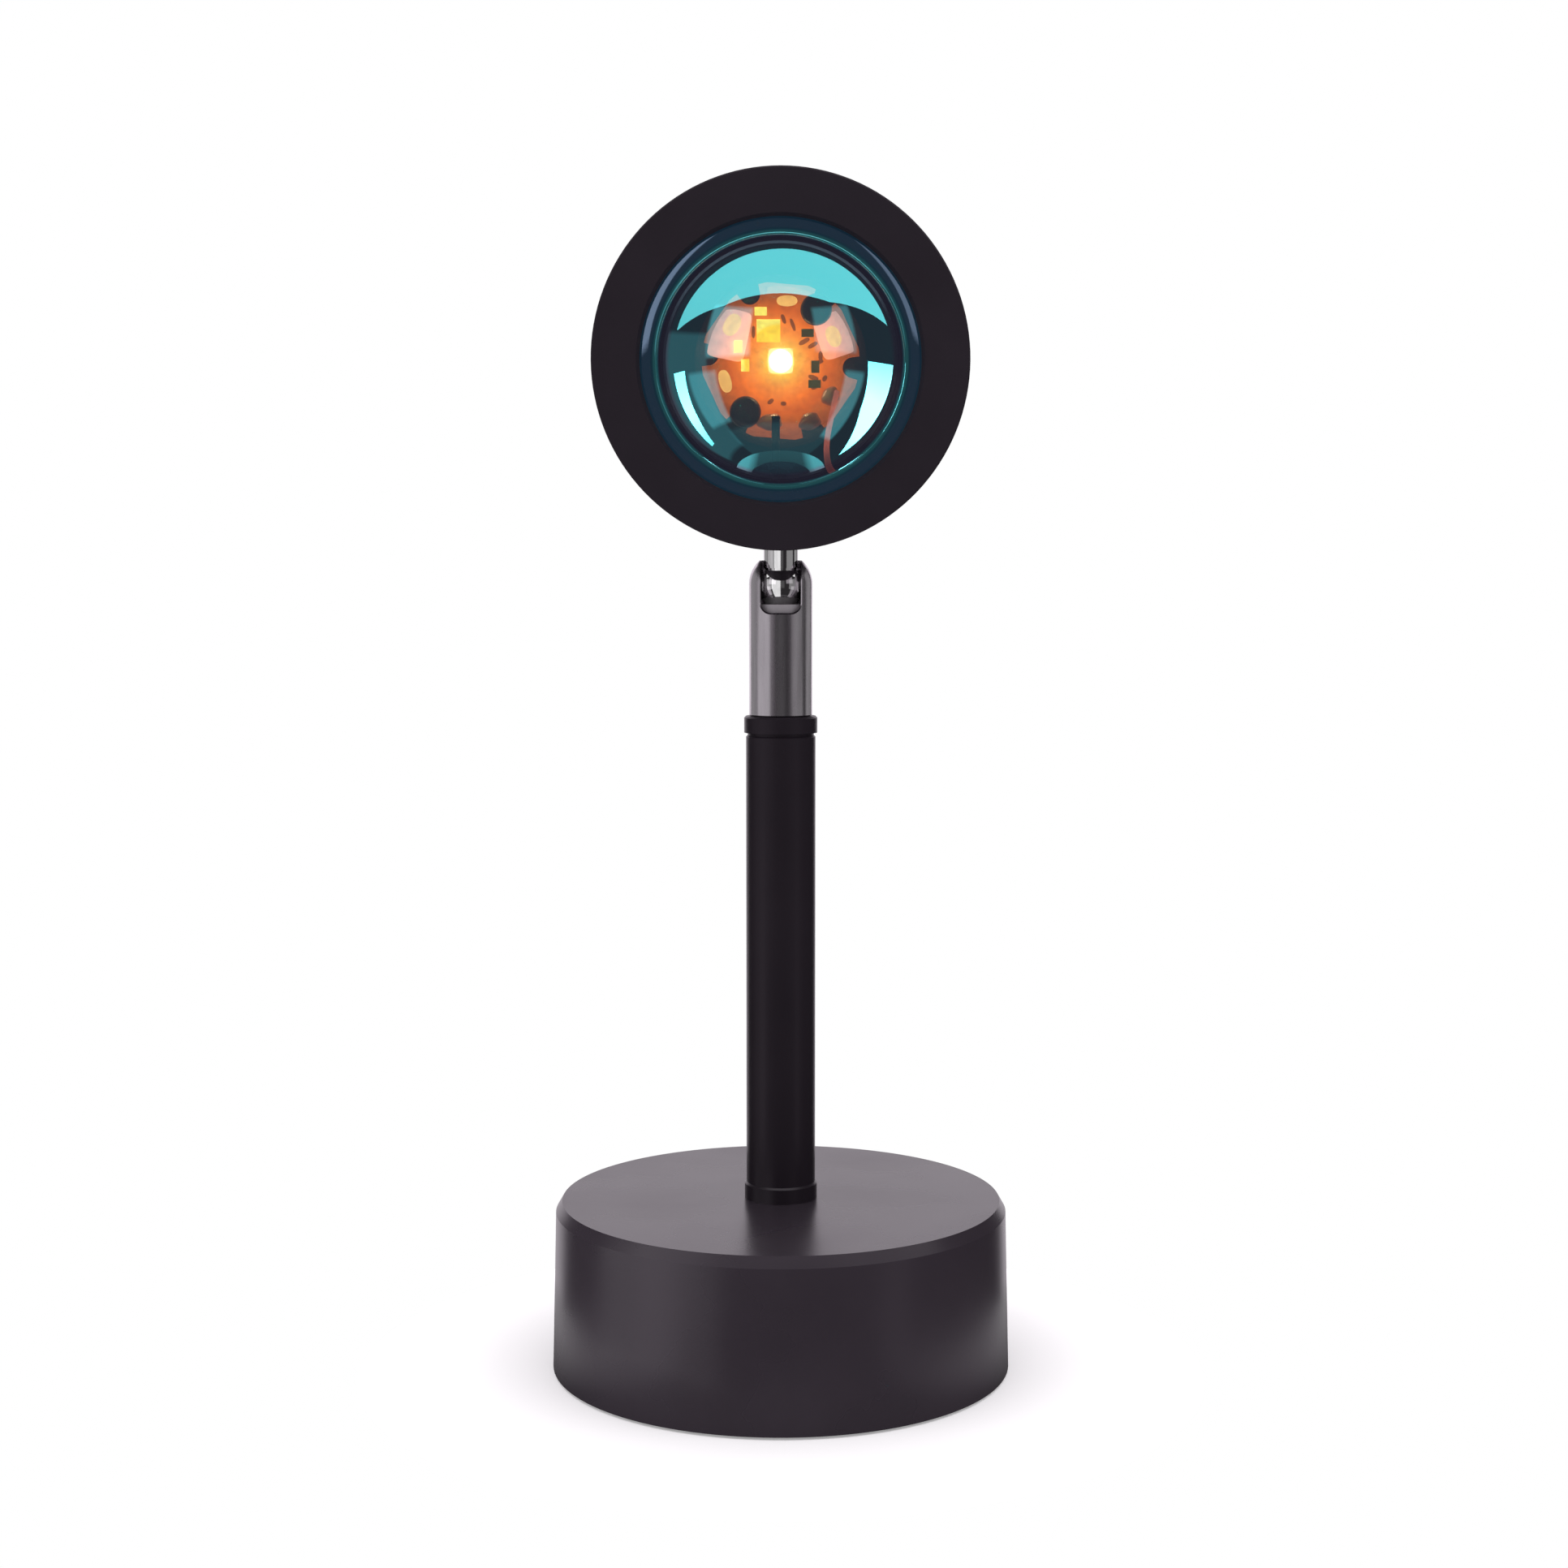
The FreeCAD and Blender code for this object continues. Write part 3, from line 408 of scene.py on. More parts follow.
def make_lens():
    """The glass: a turned profile of the dome, its root fillet, the flange's front and rim, and the back."""
    profile = np.vstack([
        dome_points(0.0),
        [(LENS_RADIUS - FLANGE_EDGE, LENS_FRONT), (LENS_RADIUS, LENS_FRONT - FLANGE_EDGE)],
        [(LENS_RADIUS, LENS_BACK + FLANGE_EDGE), (LENS_RADIUS - FLANGE_EDGE, LENS_BACK), (0, LENS_BACK)],
    ])
    points, faces = turned(profile)
    return new_mesh("lens_body", to_head(points), faces)


def make_coat():
    """A turned skin over the dome and the flange's front, with a hair-wide bevel just inside the bezel."""
    bevel = 2 * COAT_LIFT
    level = LENS_FRONT + COAT_LIFT
    profile = np.vstack([dome_points(COAT_LIFT), [
        (BEVEL_RADIUS, level + bevel), (BEVEL_RADIUS + bevel, level), (LENS_RADIUS - FLANGE_EDGE, level),
    ]])
    points, faces = turned(profile)
    return new_mesh("lens_mirror_coat", to_head(points), faces)


# ---------------------------------------------------------------- the board and what stands on it
# The emitter's painted light on the board's mask, by distance from it in mm.
BOARD_GLOW = [
    (0.0, (1.0, 1.0, 0.5)), (1.75, (1.0, 0.95, 0.35)), (2.2, (1.0, 0.60, 0.08)), (3.2, (1.0, 0.40, 0.06)),
    (3.8, (0.99, 0.317, 0.033)), (4.5, (0.95, 0.257, 0.030)), (5.8, (0.92, 0.190, 0.008)),
    (6.4, (0.75, 0.155, 0.010)), (7.2, (0.66, 0.120, 0.004)), (8.4, (0.48, 0.100, 0.004)),
    (10.0, (0.30, 0.060, 0.004)), (12.0, (0.2, 0.05, 0.01)),
]


def on_board(points):
    """Carries points in mm, whose heights are measured from the board's face, to their place in the head."""
    return to_head((np.asarray(points, float) + [0, 0, BOARD_FACE]) * MM)


def placed(u, v, x, y, turn):
    """Points (u, v) of a small shape, turned by so many degrees and carried to (x, y)."""
    a = math.radians(turn)
    return np.stack([x + u * math.cos(a) - v * math.sin(a), y + u * math.sin(a) + v * math.cos(a)], -1)


def board_edge(angle):
    """The board's radius at an angle: a round, cut by six flats, with a round notch at each corner.

    At the angle f from the nearest flat's middle the flat lies at half the width over cos f. At the angle c
    from the nearest corner the notch's near side lies at d cos c - sqrt(n^2 - d^2 sin^2 c), where n is the
    notch's radius and d that of the ring on which the notches stand.
    """
    around = np.degrees(angle) - BOARD_TURN
    from_flat = np.radians(around % 60 - 30)
    edge = np.minimum(BOARD_RADIUS, BOARD_FLATS / 2 / np.cos(from_flat))
    corner = np.radians((around + 30) % 60 - 30)
    inside = NOTCH_RADIUS**2 - (NOTCH_RING * np.sin(corner)) ** 2
    notch = NOTCH_RING * np.cos(corner) - np.sqrt(np.maximum(inside, 0))
    return np.where(inside > 0, np.minimum(edge, notch), edge)


def make_board(steps=720):
    """The board: x = e(t) cos t, y = e(t) sin t with e its edge, closed by a fan above and below."""
    t = np.linspace(0, 2 * np.pi, steps, endpoint=False)
    rim = board_edge(t)[:, None] * np.stack([np.cos(t), np.sin(t)], 1)
    levels = (-BOARD_THICKNESS, 0)
    rows = [np.column_stack([rim, np.full(steps, level)]) for level in levels]
    points = np.vstack(rows + [[(0, 0, level)] for level in levels])
    j = np.arange(steps)
    k = (j + 1) % steps
    faces = [tuple(f) for f in np.stack([j, k, steps + k, steps + j], 1)]
    faces += [(b, a, 2 * steps) for a, b in zip(j, k)]
    faces += [(steps + a, steps + b, 2 * steps + 1) for a, b in zip(j, k)]
    board = new_mesh("board_disc", on_board(points), faces, smooth=False)
    board.data.materials.append(lit_surface("board_mask", (0.20, 0.12, 0.10), 2.3, BOARD_GLOW))
    return board


def make_wire(name, stations, radius, steps=16, per_span=12):
    """A round wire on a curve through its stations, in mm.

    Between stations p1 and p2 the curve is the cubic whose slopes at them are half of p2 - p0 and of p3 - p1;
    round each point of it runs a circle across the curve, and a fan closes each end.
    """
    knots = np.array([stations[0], *stations, stations[-1]], float)
    t = np.linspace(0, 1, per_span, endpoint=False)[:, None]
    spans = []
    for p0, p1, p2, p3 in zip(knots, knots[1:], knots[2:], knots[3:]):
        m1, m2 = (p2 - p0) / 2, (p3 - p1) / 2
        spans.append((2 * t**3 - 3 * t**2 + 1) * p1 + (t**3 - 2 * t**2 + t) * m1
                     + (3 * t**2 - 2 * t**3) * p2 + (t**3 - t**2) * m2)
    line = np.vstack(spans + [knots[-1:]])
    along = np.gradient(line, axis=0)
    along /= np.linalg.norm(along, axis=1)[:, None]
    across = np.cross(along, [1.0, 0, 0])
    across /= np.linalg.norm(across, axis=1)[:, None]
    other = np.cross(along, across)
    u = np.linspace(0, 2 * np.pi, steps, endpoint=False)[:, None]
    grid = line[:, None] + radius * (np.cos(u) * across[:, None] + np.sin(u) * other[:, None])
    points = np.vstack([grid.reshape(-1, 3), line[:1], line[-1:]]) * MM
    rows = len(line)
    faces = [tuple(f[::-1]) for f in ring_faces(rows, steps)]
    column = np.arange(steps)
    following = (column + 1) % steps
    last = (rows - 1) * steps
    faces += [(rows * steps, b, a) for a, b in zip(column, following)]
    faces += [(rows * steps + 1, last + a, last + b) for a, b in zip(column, following)]
    return new_mesh(name, to_head(points), faces)


def make_red_wire():
    """The red lead, from its joint on the board down and back to the neck, lit only near the board by painted
    light.
    """
    wire = make_wire("red_wire", [
        (8.1, -4.2, 15.2), (7.4, -7.6, 15.4), (6.5, -11.3, 14.7), (5.6, -14.6, 11.8), (3.2, -20.5, 4.5),
        (0.9, -26.0, 0.6), (0.63, -28.3, 0.0),
    ], 0.38)
    wire.data.materials.append(lit_surface("red_insulation", (0.03, 0.004, 0.004), 1.0, [
        (0.0, (0.5, 0.15, 0.1)), (8.5, (0.60, 0.18, 0.14)), (10.0, (0.95, 0.26, 0.18)),
        (13.0, (0.80, 0.20, 0.15)), (15.0, (0.05, 0.01, 0.01)), (24, (0.0, 0.0, 0.0)),
    ]))
    return wire


def plates(name, shapes, steps=48):
    """Low rounded plates on the board, each given as (x, y, length, width, turn, power, height).

    Each is a superellipse, x = a sgn(cos t) |cos t|^(2/p), y = b sgn(sin t) |sin t|^(2/p), turned and set in
    its place, whose rim rises to its height and whose top is closed by a fan. What would reach past the board
    is drawn back to its edge.
    """
    points, faces = [], []
    t = np.linspace(0, 2 * np.pi, steps, endpoint=False)
    j = np.arange(steps)
    k = (j + 1) % steps
    for x, y, length, width, turn, power, height in shapes:
        u = length / 2 * np.sign(np.cos(t)) * np.abs(np.cos(t)) ** (2 / power)
        v = width / 2 * np.sign(np.sin(t)) * np.abs(np.sin(t)) ** (2 / power)
        rim = placed(u, v, x, y, turn)
        foot = sum(len(block) for block in points)
        top = foot + steps
        points += [np.column_stack([rim, np.full(steps, level)]) for level in (0, height)]
        points.append([(x, y, height)])
        faces += [tuple(f) for f in np.stack([foot + j, foot + k, top + k, top + j], 1)]
        faces += [(top + a, top + b, top + steps) for a, b in zip(j, k)]
    points = np.vstack(points)
    away = np.hypot(points[:, 0], points[:, 1])
    points[:, :2] *= np.minimum(1, (BOARD_RADIUS - 0.1) / np.maximum(away, 1e-6))[:, None]
    return new_mesh(name, on_board(points), faces, smooth=False)


def blobs(name, shapes, rows=10, steps=32):
    """Blobs of solder on the board, each given as (x, y, half length, half width, height, turn).

    Each is half an ellipsoid: x = a cos v cos u, y = b cos v sin u, z = c sin v, with a slow ripple round it.
    """
    points, faces = [], []
    u = np.linspace(0, 2 * np.pi, steps, endpoint=False)
    v = np.linspace(0, np.pi / 2, rows, endpoint=False)[:, None]
    for x, y, half_length, half_width, height, turn in shapes:
        ripple = 1 + 0.06 * np.sin(3 * u + x) + 0.04 * np.sin(5 * u + y)
        along = half_length * np.cos(v) * np.cos(u) * ripple
        across = half_width * np.cos(v) * np.sin(u) * ripple
        round_about = placed(along, across, x, y, turn)
        level = height * np.sin(v) * np.ones(steps)
        foot = sum(len(block) for block in points)
        points.append(np.concatenate([round_about, level[..., None]], -1).reshape(-1, 3))
        points.append([(x, y, height)])
        faces += [tuple(foot + f[::-1]) for f in ring_faces(rows, steps)]
        last = foot + (rows - 1) * steps
        faces += [(last + j, last + (j + 1) % steps, foot + rows * steps) for j in range(steps)]
    return new_mesh(name, on_board(np.vstack(points)), faces)


def make_fields():
    """The two pale fields to the left and right of the emitter."""
    fields = plates("board_fields", [(-7.2, 3.7, 7.0, 5.4, 78, 7, 0.02), (7.5, 3.6, 6.2, 4.8, -72, 6, 0.02)])
    fields.data.materials.append(lit_surface("board_field", (0.6, 0.5, 0.5), 2.9, [
        (0.0, (1.0, 0.36, 0.16)), (5.0, (1.0, 0.34, 0.15)), (7.4, (0.92, 0.31, 0.20)),
        (9.0, (0.60, 0.24, 0.19)), (11, (0.34, 0.16, 0.14)),
    ]))
    return fields


def make_top_field():
    """The field above the emitter, which the lens shows under the overhead panel's reflection."""
    field = plates("board_top_field", [(1.2, 9.3, 6.2, 2.0, -4, 6, 0.02)])
    field.data.materials.append(lit_surface("board_top_field", (0.4, 0.2, 0.1), 1.0, [
        (0.0, (0.9, 0.20, 0.03)), (9.0, (0.9, 0.20, 0.03)), (12, (0.7, 0.16, 0.03)),
    ]))
    return field


def make_pads():
    """The oval brass pads."""
    pads = plates("board_pads", [
        (-6.8, 5.0, 3.2, 2.2, 60, 2.3, 0.05), (7.4, 3.4, 3.0, 2.0, -68, 2.3, 0.05),
        (0.9, 8.3, 2.9, 1.5, 0, 2.3, 0.05), (-7.8, -2.8, 3.2, 1.7, -75, 2.3, 0.05),
    ])
    pads.data.materials.append(lit_surface("board_pad", (0.8, 0.6, 0.3), 2.1, [
        (0.0, (1.0, 0.6, 0.2)), (7.0, (1.0, 0.60, 0.18)), (10, (0.9, 0.48, 0.14)),
    ]))
    return pads


def make_solder():
    """Two joints at the lower edge, and the red wire's."""
    solder = blobs("solder_joints", [
        (-1.5, -8.5, 1.8, 1.2, 0.8, 5), (4.1, -8.4, 1.6, 1.2, 0.8, 20), (7.0, -4.9, 1.4, 1.2, 0.9, 60),
    ])
    solder.data.materials.append(lit_surface("solder", (0.45, 0.35, 0.28), 0.55, [
        (0.0, (0.9, 0.3, 0.08)), (7.0, (0.60, 0.19, 0.05)), (8.4, (0.42, 0.13, 0.04)),
        (10, (0.20, 0.07, 0.03)),
    ], 0.35, 0.6))
    return solder


def make_marks():
    """Small dark marks, which stand for the board's print and its tiny parts."""
    marks = plates("board_marks", [
        (3.3, 2.7, 1.7, 0.65, 30, 2.5, 0.03), (4.5, 2.2, 1.5, 0.6, 30, 2.5, 0.03),
        (5.6, 0.7, 0.6, 1.3, 0, 2.5, 0.03), (5.3, -0.2, 1.5, 0.55, 20, 2.5, 0.03),
        (4.6, -2.3, 1.5, 0.65, -20, 2.5, 0.03), (6.2, -2.4, 0.9, 0.6, 60, 2.5, 0.03),
        (4.7, -3.6, 0.9, 0.7, 20, 2.5, 0.03), (-1.4, -5.6, 1.0, 0.6, 40, 2.5, 0.03),
        (0.4, -5.9, 0.8, 0.6, 0, 2.5, 0.03), (-3.8, 4.0, 0.5, 1.7, 0, 2.5, 0.03),
        (0.4, 5.8, 0.55, 1.4, 20, 2.5, 0.03), (1.7, 5.0, 0.5, 1.8, 20, 2.5, 0.03),
    ])
    marks.data.materials.append(lit_surface("board_mark", (0.08, 0.04, 0.03), 1.3, [
        (0.0, (0.9, 0.28, 0.05)), (5.0, (0.50, 0.12, 0.02)), (9, (0.20, 0.05, 0.01)),
    ]))
    return marks


# ---------------------------------------------------------------- studio
CAMERA_AWAY = 535.23 * MM
CAMERA_HEIGHT = 174.82 * MM
CAMERA_ASIDE = 0.7 * MM
CAMERA_DOWN = 5.0  # degrees
CAMERA_LENS = 57.02  # millimetres, on a 36 mm sensor
FLOOR_RADIUS = 92 * MM
LENS_LEVEL = 0.2187  # the height of the lens's axis
CARD_REACH = 0.30  # from the lens's axis to the cards beside it
PANEL_RISE = 0.80  # from the lens's axis to the overhead panel
STUDIO_TINT = (1.0, 0.93, 1.0)
AMBIENT = 0.72  # the even light on matt surfaces
ROOM_LEVEL = 0.03  # the room in gloss, between its patches
# Patches of the room: from bearing, to bearing, from rise, to rise, in degrees, and the level that each adds.
ROOM = [
    (-200, -142, -50, 50, 0.95), (149, 200, -50, 50, 0.95),
    (-57, -23, 0, 34, 0.42), (26, 58, 3, 34, 0.28),
    (-100, -57, -62, 15, 0.13), (-74, -50, -44, -9, 0.34),
    (50, 66, -56, -9, 0.32), (-60, 60, -76, -50, 0.05), (-8, 8, -12, 6, 0.02),
]


def add_camera():
    data = bpy.data.cameras.new("camera")
    data.lens = CAMERA_LENS
    data.sensor_width = 36.0
    camera = bpy.data.objects.new("camera", data)
    camera.location = (CAMERA_ASIDE, -CAMERA_AWAY, CAMERA_HEIGHT)
    camera.rotation_euler = (math.radians(90 - CAMERA_DOWN), 0, 0)
    bpy.context.scene.collection.objects.link(camera)
    bpy.context.scene.camera = camera


def add_panel(name, place, facing, size, radiance, only_for=(), unshaded=False):
    """A rectangular light of an even radiance, where 1 is the white of the backdrop, turned by degrees.

    A one-sided panel of radiance L gives pi L times its area in watts. One that is meant for some pieces only
    is linked to them, as a flag in a studio would keep its light off the others; one that is unshaded is
    stopped by no other piece either.
    """
    data = bpy.data.lights.new(name, "AREA")
    data.shape = "RECTANGLE"
    data.size, data.size_y = size
    data.energy = math.pi * radiance * size[0] * size[1]
    panel = bpy.data.objects.new(name, data)
    panel.location = place
    panel.rotation_euler = [math.radians(angle) for angle in facing]
    panel.visible_camera = False
    bpy.context.scene.collection.objects.link(panel)
    if only_for:
        lit = bpy.data.collections.new(name + "_receivers")
        for piece in only_for:
            lit.objects.link(piece)
        panel.light_linking.receiver_collection = lit
        if unshaded:
            panel.light_linking.blocker_collection = lit
    return panel


def panel_nodes(panel):
    """The panel's own shader, with the place on it that a ray meets."""
    panel.data.use_nodes = True
    tree = panel.data.node_tree
    where = add(tree, "ShaderNodeNewGeometry")
    return tree, tree.nodes["Emission"], axes_of(tree, where.outputs["Position"])


def past(tree, value, start, slope):
    """slope times what the value has past the start, and 0 before it."""
    more = combined(tree, "MAXIMUM", combined(tree, "SUBTRACT", value, start), 0.0)
    return combined(tree, "MULTIPLY", more, slope)


def sloped(tree, value, start, slope, kink, more):
    """start + slope times the value, and more times what the value has past the kink."""
    straight = combined(tree, "ADD", combined(tree, "MULTIPLY", value, slope), start)
    return combined(tree, "ADD", straight, past(tree, value, kink, more))


def add_slanted_card(name, side, top, foot, front, back, radiance, shares):
    """A tall card beside the lens between two sloped edges, which only the lens's coat mirrors.

    top and foot are depths below the lens's level. front and back give where an edge lies along y at that
    level, its slope, the depth of its kink and the slope added there. shares are the levels at the card's top
    and at its foot, which fade to the full level over fade_in and fade_out.
    """
    middle_y, depth = -0.07, 0.24
    fade_in, fade_out = 0.12, 0.18
    middle = (side * CARD_REACH, middle_y, LENS_LEVEL - (top + foot) / 2)
    card = add_panel(name, middle, (0, 90 * side, 0), (foot - top, depth), radiance, [coat])
    tree, glow, place = panel_nodes(card)
    fallen = combined(tree, "SUBTRACT", LENS_LEVEL, place["Z"])
    inside = combined(
        tree, "MULTIPLY", combined(tree, "GREATER_THAN", place["Y"], sloped(tree, fallen, *front)),
        combined(tree, "LESS_THAN", place["Y"], sloped(tree, fallen, *back)),
    )
    level = combined(
        tree, "MULTIPLY", remap(tree, fallen, top, top + fade_in, shares[0], 1.0),
        remap(tree, fallen, foot - fade_out, foot, 1.0, shares[1]),
    )
    tree.links.new(combined(tree, "MULTIPLY", inside, level), glow.inputs["Strength"])


def add_overhead():
    """The big panel above and in front, whose front edge runs back towards both ends."""
    back, front, lit_from, half_width, turn = -0.09, -0.82, -0.80, 2.7, 2.3
    place = (0, (back + front) / 2, LENS_LEVEL + PANEL_RISE)
    panel = add_panel("overhead_panel", place, (0, 0, turn), (2 * half_width, back - front), 1.18)
    tree, glow, place = panel_nodes(panel)
    leftward = combined(tree, "MULTIPLY", place["X"], -1.0)
    corners = combined(tree, "ADD", past(tree, place["X"], 0.70, 0.47), past(tree, leftward, 0.90, 0.30))
    inside = combined(tree, "GREATER_THAN", place["Y"], combined(tree, "ADD", corners, lit_from))
    level = remap(tree, place["X"], -half_width, half_width, 0.90, 1.08)
    tree.links.new(combined(tree, "MULTIPLY", inside, level), glow.inputs["Strength"])


def add_swivel_cards():
    """Soft cards that only the plated swivel mirrors, and one that only the ball does."""
    swivel = [NODES["swivel_socket"], NODES["ball_stud"]]
    ball = [NODES["ball_stud"]]
    add_panel("left_bounce", (-0.40, -0.17, 0.16), (0, -90, 25), (0.34, 0.46), 0.40, swivel)
    add_panel("left_edge_bounce", (-0.34, 0.20, 0.16), (0, -90, -30), (0.34, 0.30), 0.30, swivel)
    add_panel("right_bounce", (0.40, -0.20, 0.16), (0, 90, -25), (0.34, 0.40), 0.24, swivel)
    add_panel("right_edge_bounce", (0.34, 0.20, 0.16), (0, 90, 30), (0.34, 0.24), 0.30, swivel)
    add_panel("front_fill", (0, -0.80, 0.16), (90, 0, 0), (0.50, 0.50), 0.06, swivel)
    add_panel("ball_card", (-0.035, -0.09, 0.171), (90, 0, -20), (0.07, 0.336), 0.9, ball, unshaded=True)


def add_left_wall():
    """A pale wall far to the left, which only the base mirrors."""
    add_panel("left_wall", (-0.85, -0.42, 0.15), (0, -90, 26), (0.80, 1.30), 0.78, [NODES["base_cover"]])


def glossy_rays(tree):
    return add(tree, "ShaderNodeLightPath").outputs["Is Glossy Ray"]


def background_rays(tree):
    """1 for the rays that show the background: those of the camera, of gloss and through glass."""
    path = add(tree, "ShaderNodeLightPath")
    total = path.outputs["Is Camera Ray"]
    for kind in ("Is Glossy Ray", "Is Transmission Ray"):
        total = combined(tree, "MAXIMUM", total, path.outputs[kind])
    return total


def floor_white():
    """Pale paint whose glow rises away from the lamp.

    To gloss it is dim in front of the lamp and behind it, up to dim_to from its middle plane, and pale beside
    it, from pale_from on.
    """
    dim_to, pale_from = 48 * MM, 70 * MM
    material, tree, shader = new_material("floor_white")
    shader.inputs["Roughness"].default_value = 0.9
    shader.inputs["Specular IOR Level"].default_value = 0.0
    shader.inputs["Emission Color"].default_value = (1, 1, 1, 1)
    place = add(tree, "ShaderNodeTexCoord")
    away = add(tree, "ShaderNodeVectorMath", operation="LENGTH")
    tree.links.new(place.outputs["Object"], away.inputs[0])
    rise = remap(tree, away.outputs["Value"], BASE_RADIUS, FLOOR_RADIUS, 0.30, 0.55)
    aside = combined(tree, "ABSOLUTE", axes_of(tree, place.outputs["Object"])["X"], 0.0)
    glossy = glossy_rays(tree)
    other = combined(tree, "SUBTRACT", 1.0, glossy)
    glow_in_gloss = combined(tree, "MULTIPLY", glossy, remap(tree, aside, dim_to, pale_from, 0.04, 0.32))
    glow_else = combined(tree, "MULTIPLY", background_rays(tree), other)
    share = combined(tree, "ADD", glow_else, glow_in_gloss)
    tree.links.new(combined(tree, "MULTIPLY", rise, share), shader.inputs["Emission Strength"])
    tone_in_gloss = combined(tree, "MULTIPLY", glossy, remap(tree, aside, dim_to, pale_from, 0.12, 0.58))
    tone_else = combined(tree, "MULTIPLY", other, 0.8)
    tree.links.new(combined(tree, "ADD", tone_else, tone_in_gloss), shader.inputs["Base Color"])
    return material


def add_floor():
    """A round of pale floor whose brightness runs into the white backdrop away from the lamp."""
    steps = 96
    angle = np.linspace(0, 2 * np.pi, steps, endpoint=False)
    points = np.stack([FLOOR_RADIUS * np.cos(angle), FLOOR_RADIUS * np.sin(angle), 0 * angle], 1)
    floor = new_mesh("floor", points, [tuple(range(steps))], smooth=False)
    floor.data.materials.append(floor_white())


def window(tree, bearing, rise, west, east, low, high, level):
    """A patch of the room between two bearings and two rises in degrees: an even level with soft edges."""
    edge = 1.5
    patch = level
    for value, limit, before, after in ((bearing, west, 0, 1), (bearing, east, 1, 0), (rise, low, 0, 1),
                                        (rise, high, 1, 0)):
        share = remap(tree, value, limit - edge, limit + edge, before, after)
        patch = combined(tree, "MULTIPLY", share, patch)
    return patch


def room_light(tree, direction):
    """The room as gloss shows it, by bearing and rise: 0 is the camera's bearing, 90 the viewer's right."""
    axes = axes_of(tree, direction)
    ahead = combined(tree, "MULTIPLY", axes["Y"], -1.0)
    turn = combined(tree, "ARCTAN2", axes["X"], ahead)
    lift = combined(tree, "ARCSINE", axes["Z"], 0.0)
    bearing, rise = (combined(tree, "MULTIPLY", angle, 180 / math.pi) for angle in (turn, lift))
    total = ROOM_LEVEL
    for patch in ROOM:
        total = combined(tree, "ADD", window(tree, bearing, rise, *patch), total)
    return total


def add_world():
    """White to the camera, a soft even light to matt surfaces, and to gloss the room with its backdrop."""
    world = bpy.data.worlds.new("studio")
    bpy.context.scene.world = world
    world.use_nodes = True
    tree = world.node_tree
    background = tree.nodes["Background"]
    place = add(tree, "ShaderNodeTexCoord")
    path = add(tree, "ShaderNodeLightPath")
    to_camera = path.outputs["Is Camera Ray"]
    room = room_light(tree, place.outputs["Generated"])
    lit = mixed_value(tree, path.outputs["Is Diffuse Ray"], room, AMBIENT)
    tree.links.new(mixed_value(tree, to_camera, lit, 1.0), background.inputs["Strength"])
    tree.links.new(mixed_colour(tree, to_camera, STUDIO_TINT, (1, 1, 1)), background.inputs["Color"])
    world.cycles.sampling_method = "NONE"


# ---------------------------------------------------------------- the lamp's finishes
def dress(names, material):
    """Gives CAD nodes their material."""
    for name in names:
        slots = NODES[name].data.materials
        slots.clear()
        slots.append(material)


dress(["base_cover"], coated_metal("base_paint", (0.028, 0.0225, 0.029), 0.28, 2600.0))
dress(["pole_tube", "lower_collar", "upper_collar"],
      coated_metal("pole_paint", (0.0135, 0.0103, 0.0143), 0.34, 3200.0))
dress(["head_shell", "front_bezel", "rear_cap", "lens_retainer"],
      coated_metal("head_anodised", (0.0175, 0.0132, 0.019), 0.46, 5200.0))
dress(["swivel_socket"], plated("socket_plating", (0.63, 0.59, 0.63), 0.24))
dress(["ball_stud"], plated("stud_plating", (0.80, 0.79, 0.80), 0.07))
dress(["foot_pad", "grommet", "lens_gasket", "base_lead", "head_lead", "lead_black"],
      plain("black_rubber", (0.02, 0.02, 0.02), 0.75))
dress(["bottom_plate", "base_washer", "base_nut", "base_rod", "socket_rod", "disc_springs", "neck_washer",
       "neck_nut"], plain("zinc_steel", (0.5, 0.5, 0.52), 0.35, 1.0))
dress(["bottom_plate_screws", "rear_cap_screws"], plain("black_steel", (0.03, 0.03, 0.03), 0.35, 0.6))
dress(["socket_plug"], plain("brass", (0.7, 0.5, 0.2), 0.3, 1.0))
dress(["base_weight"], plain("cast_iron", (0.12, 0.12, 0.13), 0.6, 0.8, 900.0))
dress(["lead_clamp", "lead_connector"], plain("nylon", (0.8, 0.79, 0.74), 0.5))
dress(["ball_seat"], plain("grey_nylon", (0.45, 0.44, 0.45), 0.3))
dress(["thermal_pad"], plain("thermal_pad", (0.5, 0.52, 0.55), 0.8))
dress(["heat_sink"], plain("black_sink", (0.03, 0.03, 0.03), 0.5))
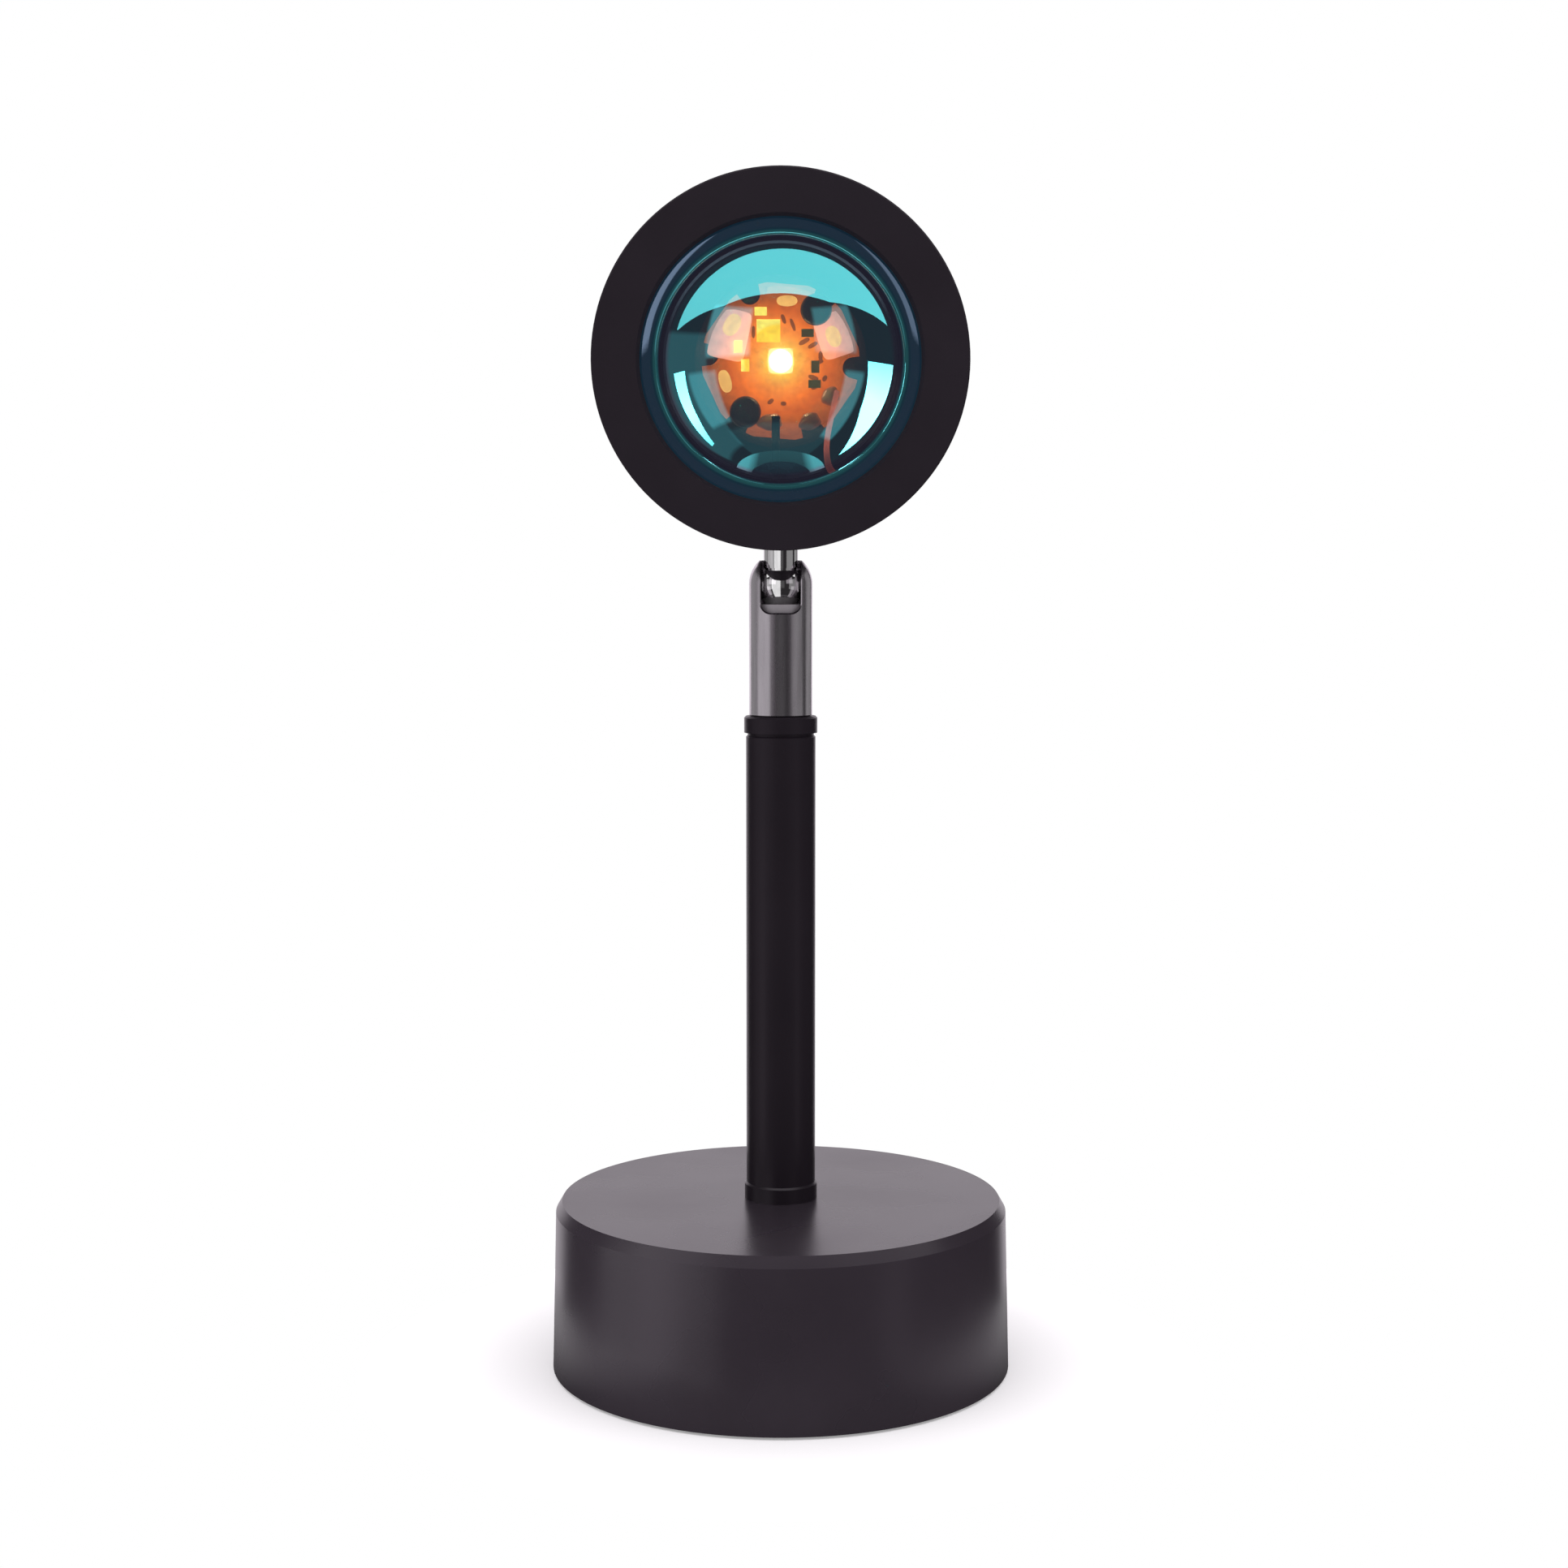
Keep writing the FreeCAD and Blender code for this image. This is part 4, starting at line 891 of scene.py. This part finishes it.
# Painted light: the board's parts and screws, and the emitter's ceramic round its middle, glow by their
# distance from the emitter, as its light falling on them; the emitter's dome is the lamp.
dress(["board_parts"], lit_surface("board_parts", (0.2, 0.15, 0.1), 2.4, [
    (0.0, (1, 0.8, 0.2)), (2.5, (1, 0.74, 0.06)), (5.0, (1.0, 0.72, 0.05)), (5.5, (1.0, 0.95, 0.2)),
    (9.0, (1.0, 0.9, 0.15)),
], dim_beyond=2.6))
dress(["board_screws"], lit_surface("board_screw", (0.10, 0.085, 0.075), 0.06, [
    (0.0, (0.9, 0.3, 0.08)), (7.0, (0.5, 0.16, 0.05)), (12, (0.2, 0.07, 0.03)),
], 0.4, 0.6))
dress(["emitter_base"], lit_surface("emitter_ceramic", (0.9, 0.8, 0.6), 6.0, [
    (0.0, (1, 0.95, 0.8)), (1.5, (1, 0.9, 0.6)), (1.75, (0.8, 0.45, 0.08)), (2.3, (0.4, 0.14, 0.02)),
    (3.0, (0.4, 0.12, 0.02)),
]))
dress(["emitter_dome"], lit_surface("emitter_lens", (1, 0.9, 0.7), 25.0, [
    (0.0, (1, 0.95, 0.8)), (3.0, (1, 0.9, 0.6)),
]))

# ---------------------------------------------------------------- the lamp's own pieces
board = make_board()
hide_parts("star_board")
red = make_red_wire()
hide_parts("lead_red")
for piece, slot in (
    (board, "board_mask"), (red, "wire_red"), (make_fields(), "board_mask"),
    (make_top_field(), "board_mask"), (make_pads(), "brass"), (make_solder(), "bare_aluminium"),
    (make_marks(), "board_mask"),
):
    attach(piece, "head")

glass = make_lens()
glass.data.materials.append(lens_glass())
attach(glass, "head")
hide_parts("lens")

coat = make_coat()
coat.data.materials.append(lens_coat())
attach(coat, "head")

# ---------------------------------------------------------------- camera, floor and light
add_camera()
add_floor()
add_world()
add_overhead()
add_slanted_card("right_card", 1, 0.012, 0.48, (-0.150, 0.17, 0.19, 0.26), (-0.017, 0.05, 0, 0), 9.5,
                 (0.42, 0.45))
add_slanted_card("left_card", -1, 0.038, 0.37, (-0.104, 0.12, 0.22, 0.12), (-0.046, 0.09, 0, 0), 7.8,
                 (0.60, 0.25))
add_swivel_cards()
add_left_wall()

bpy.context.scene.view_settings.view_transform = "Standard"
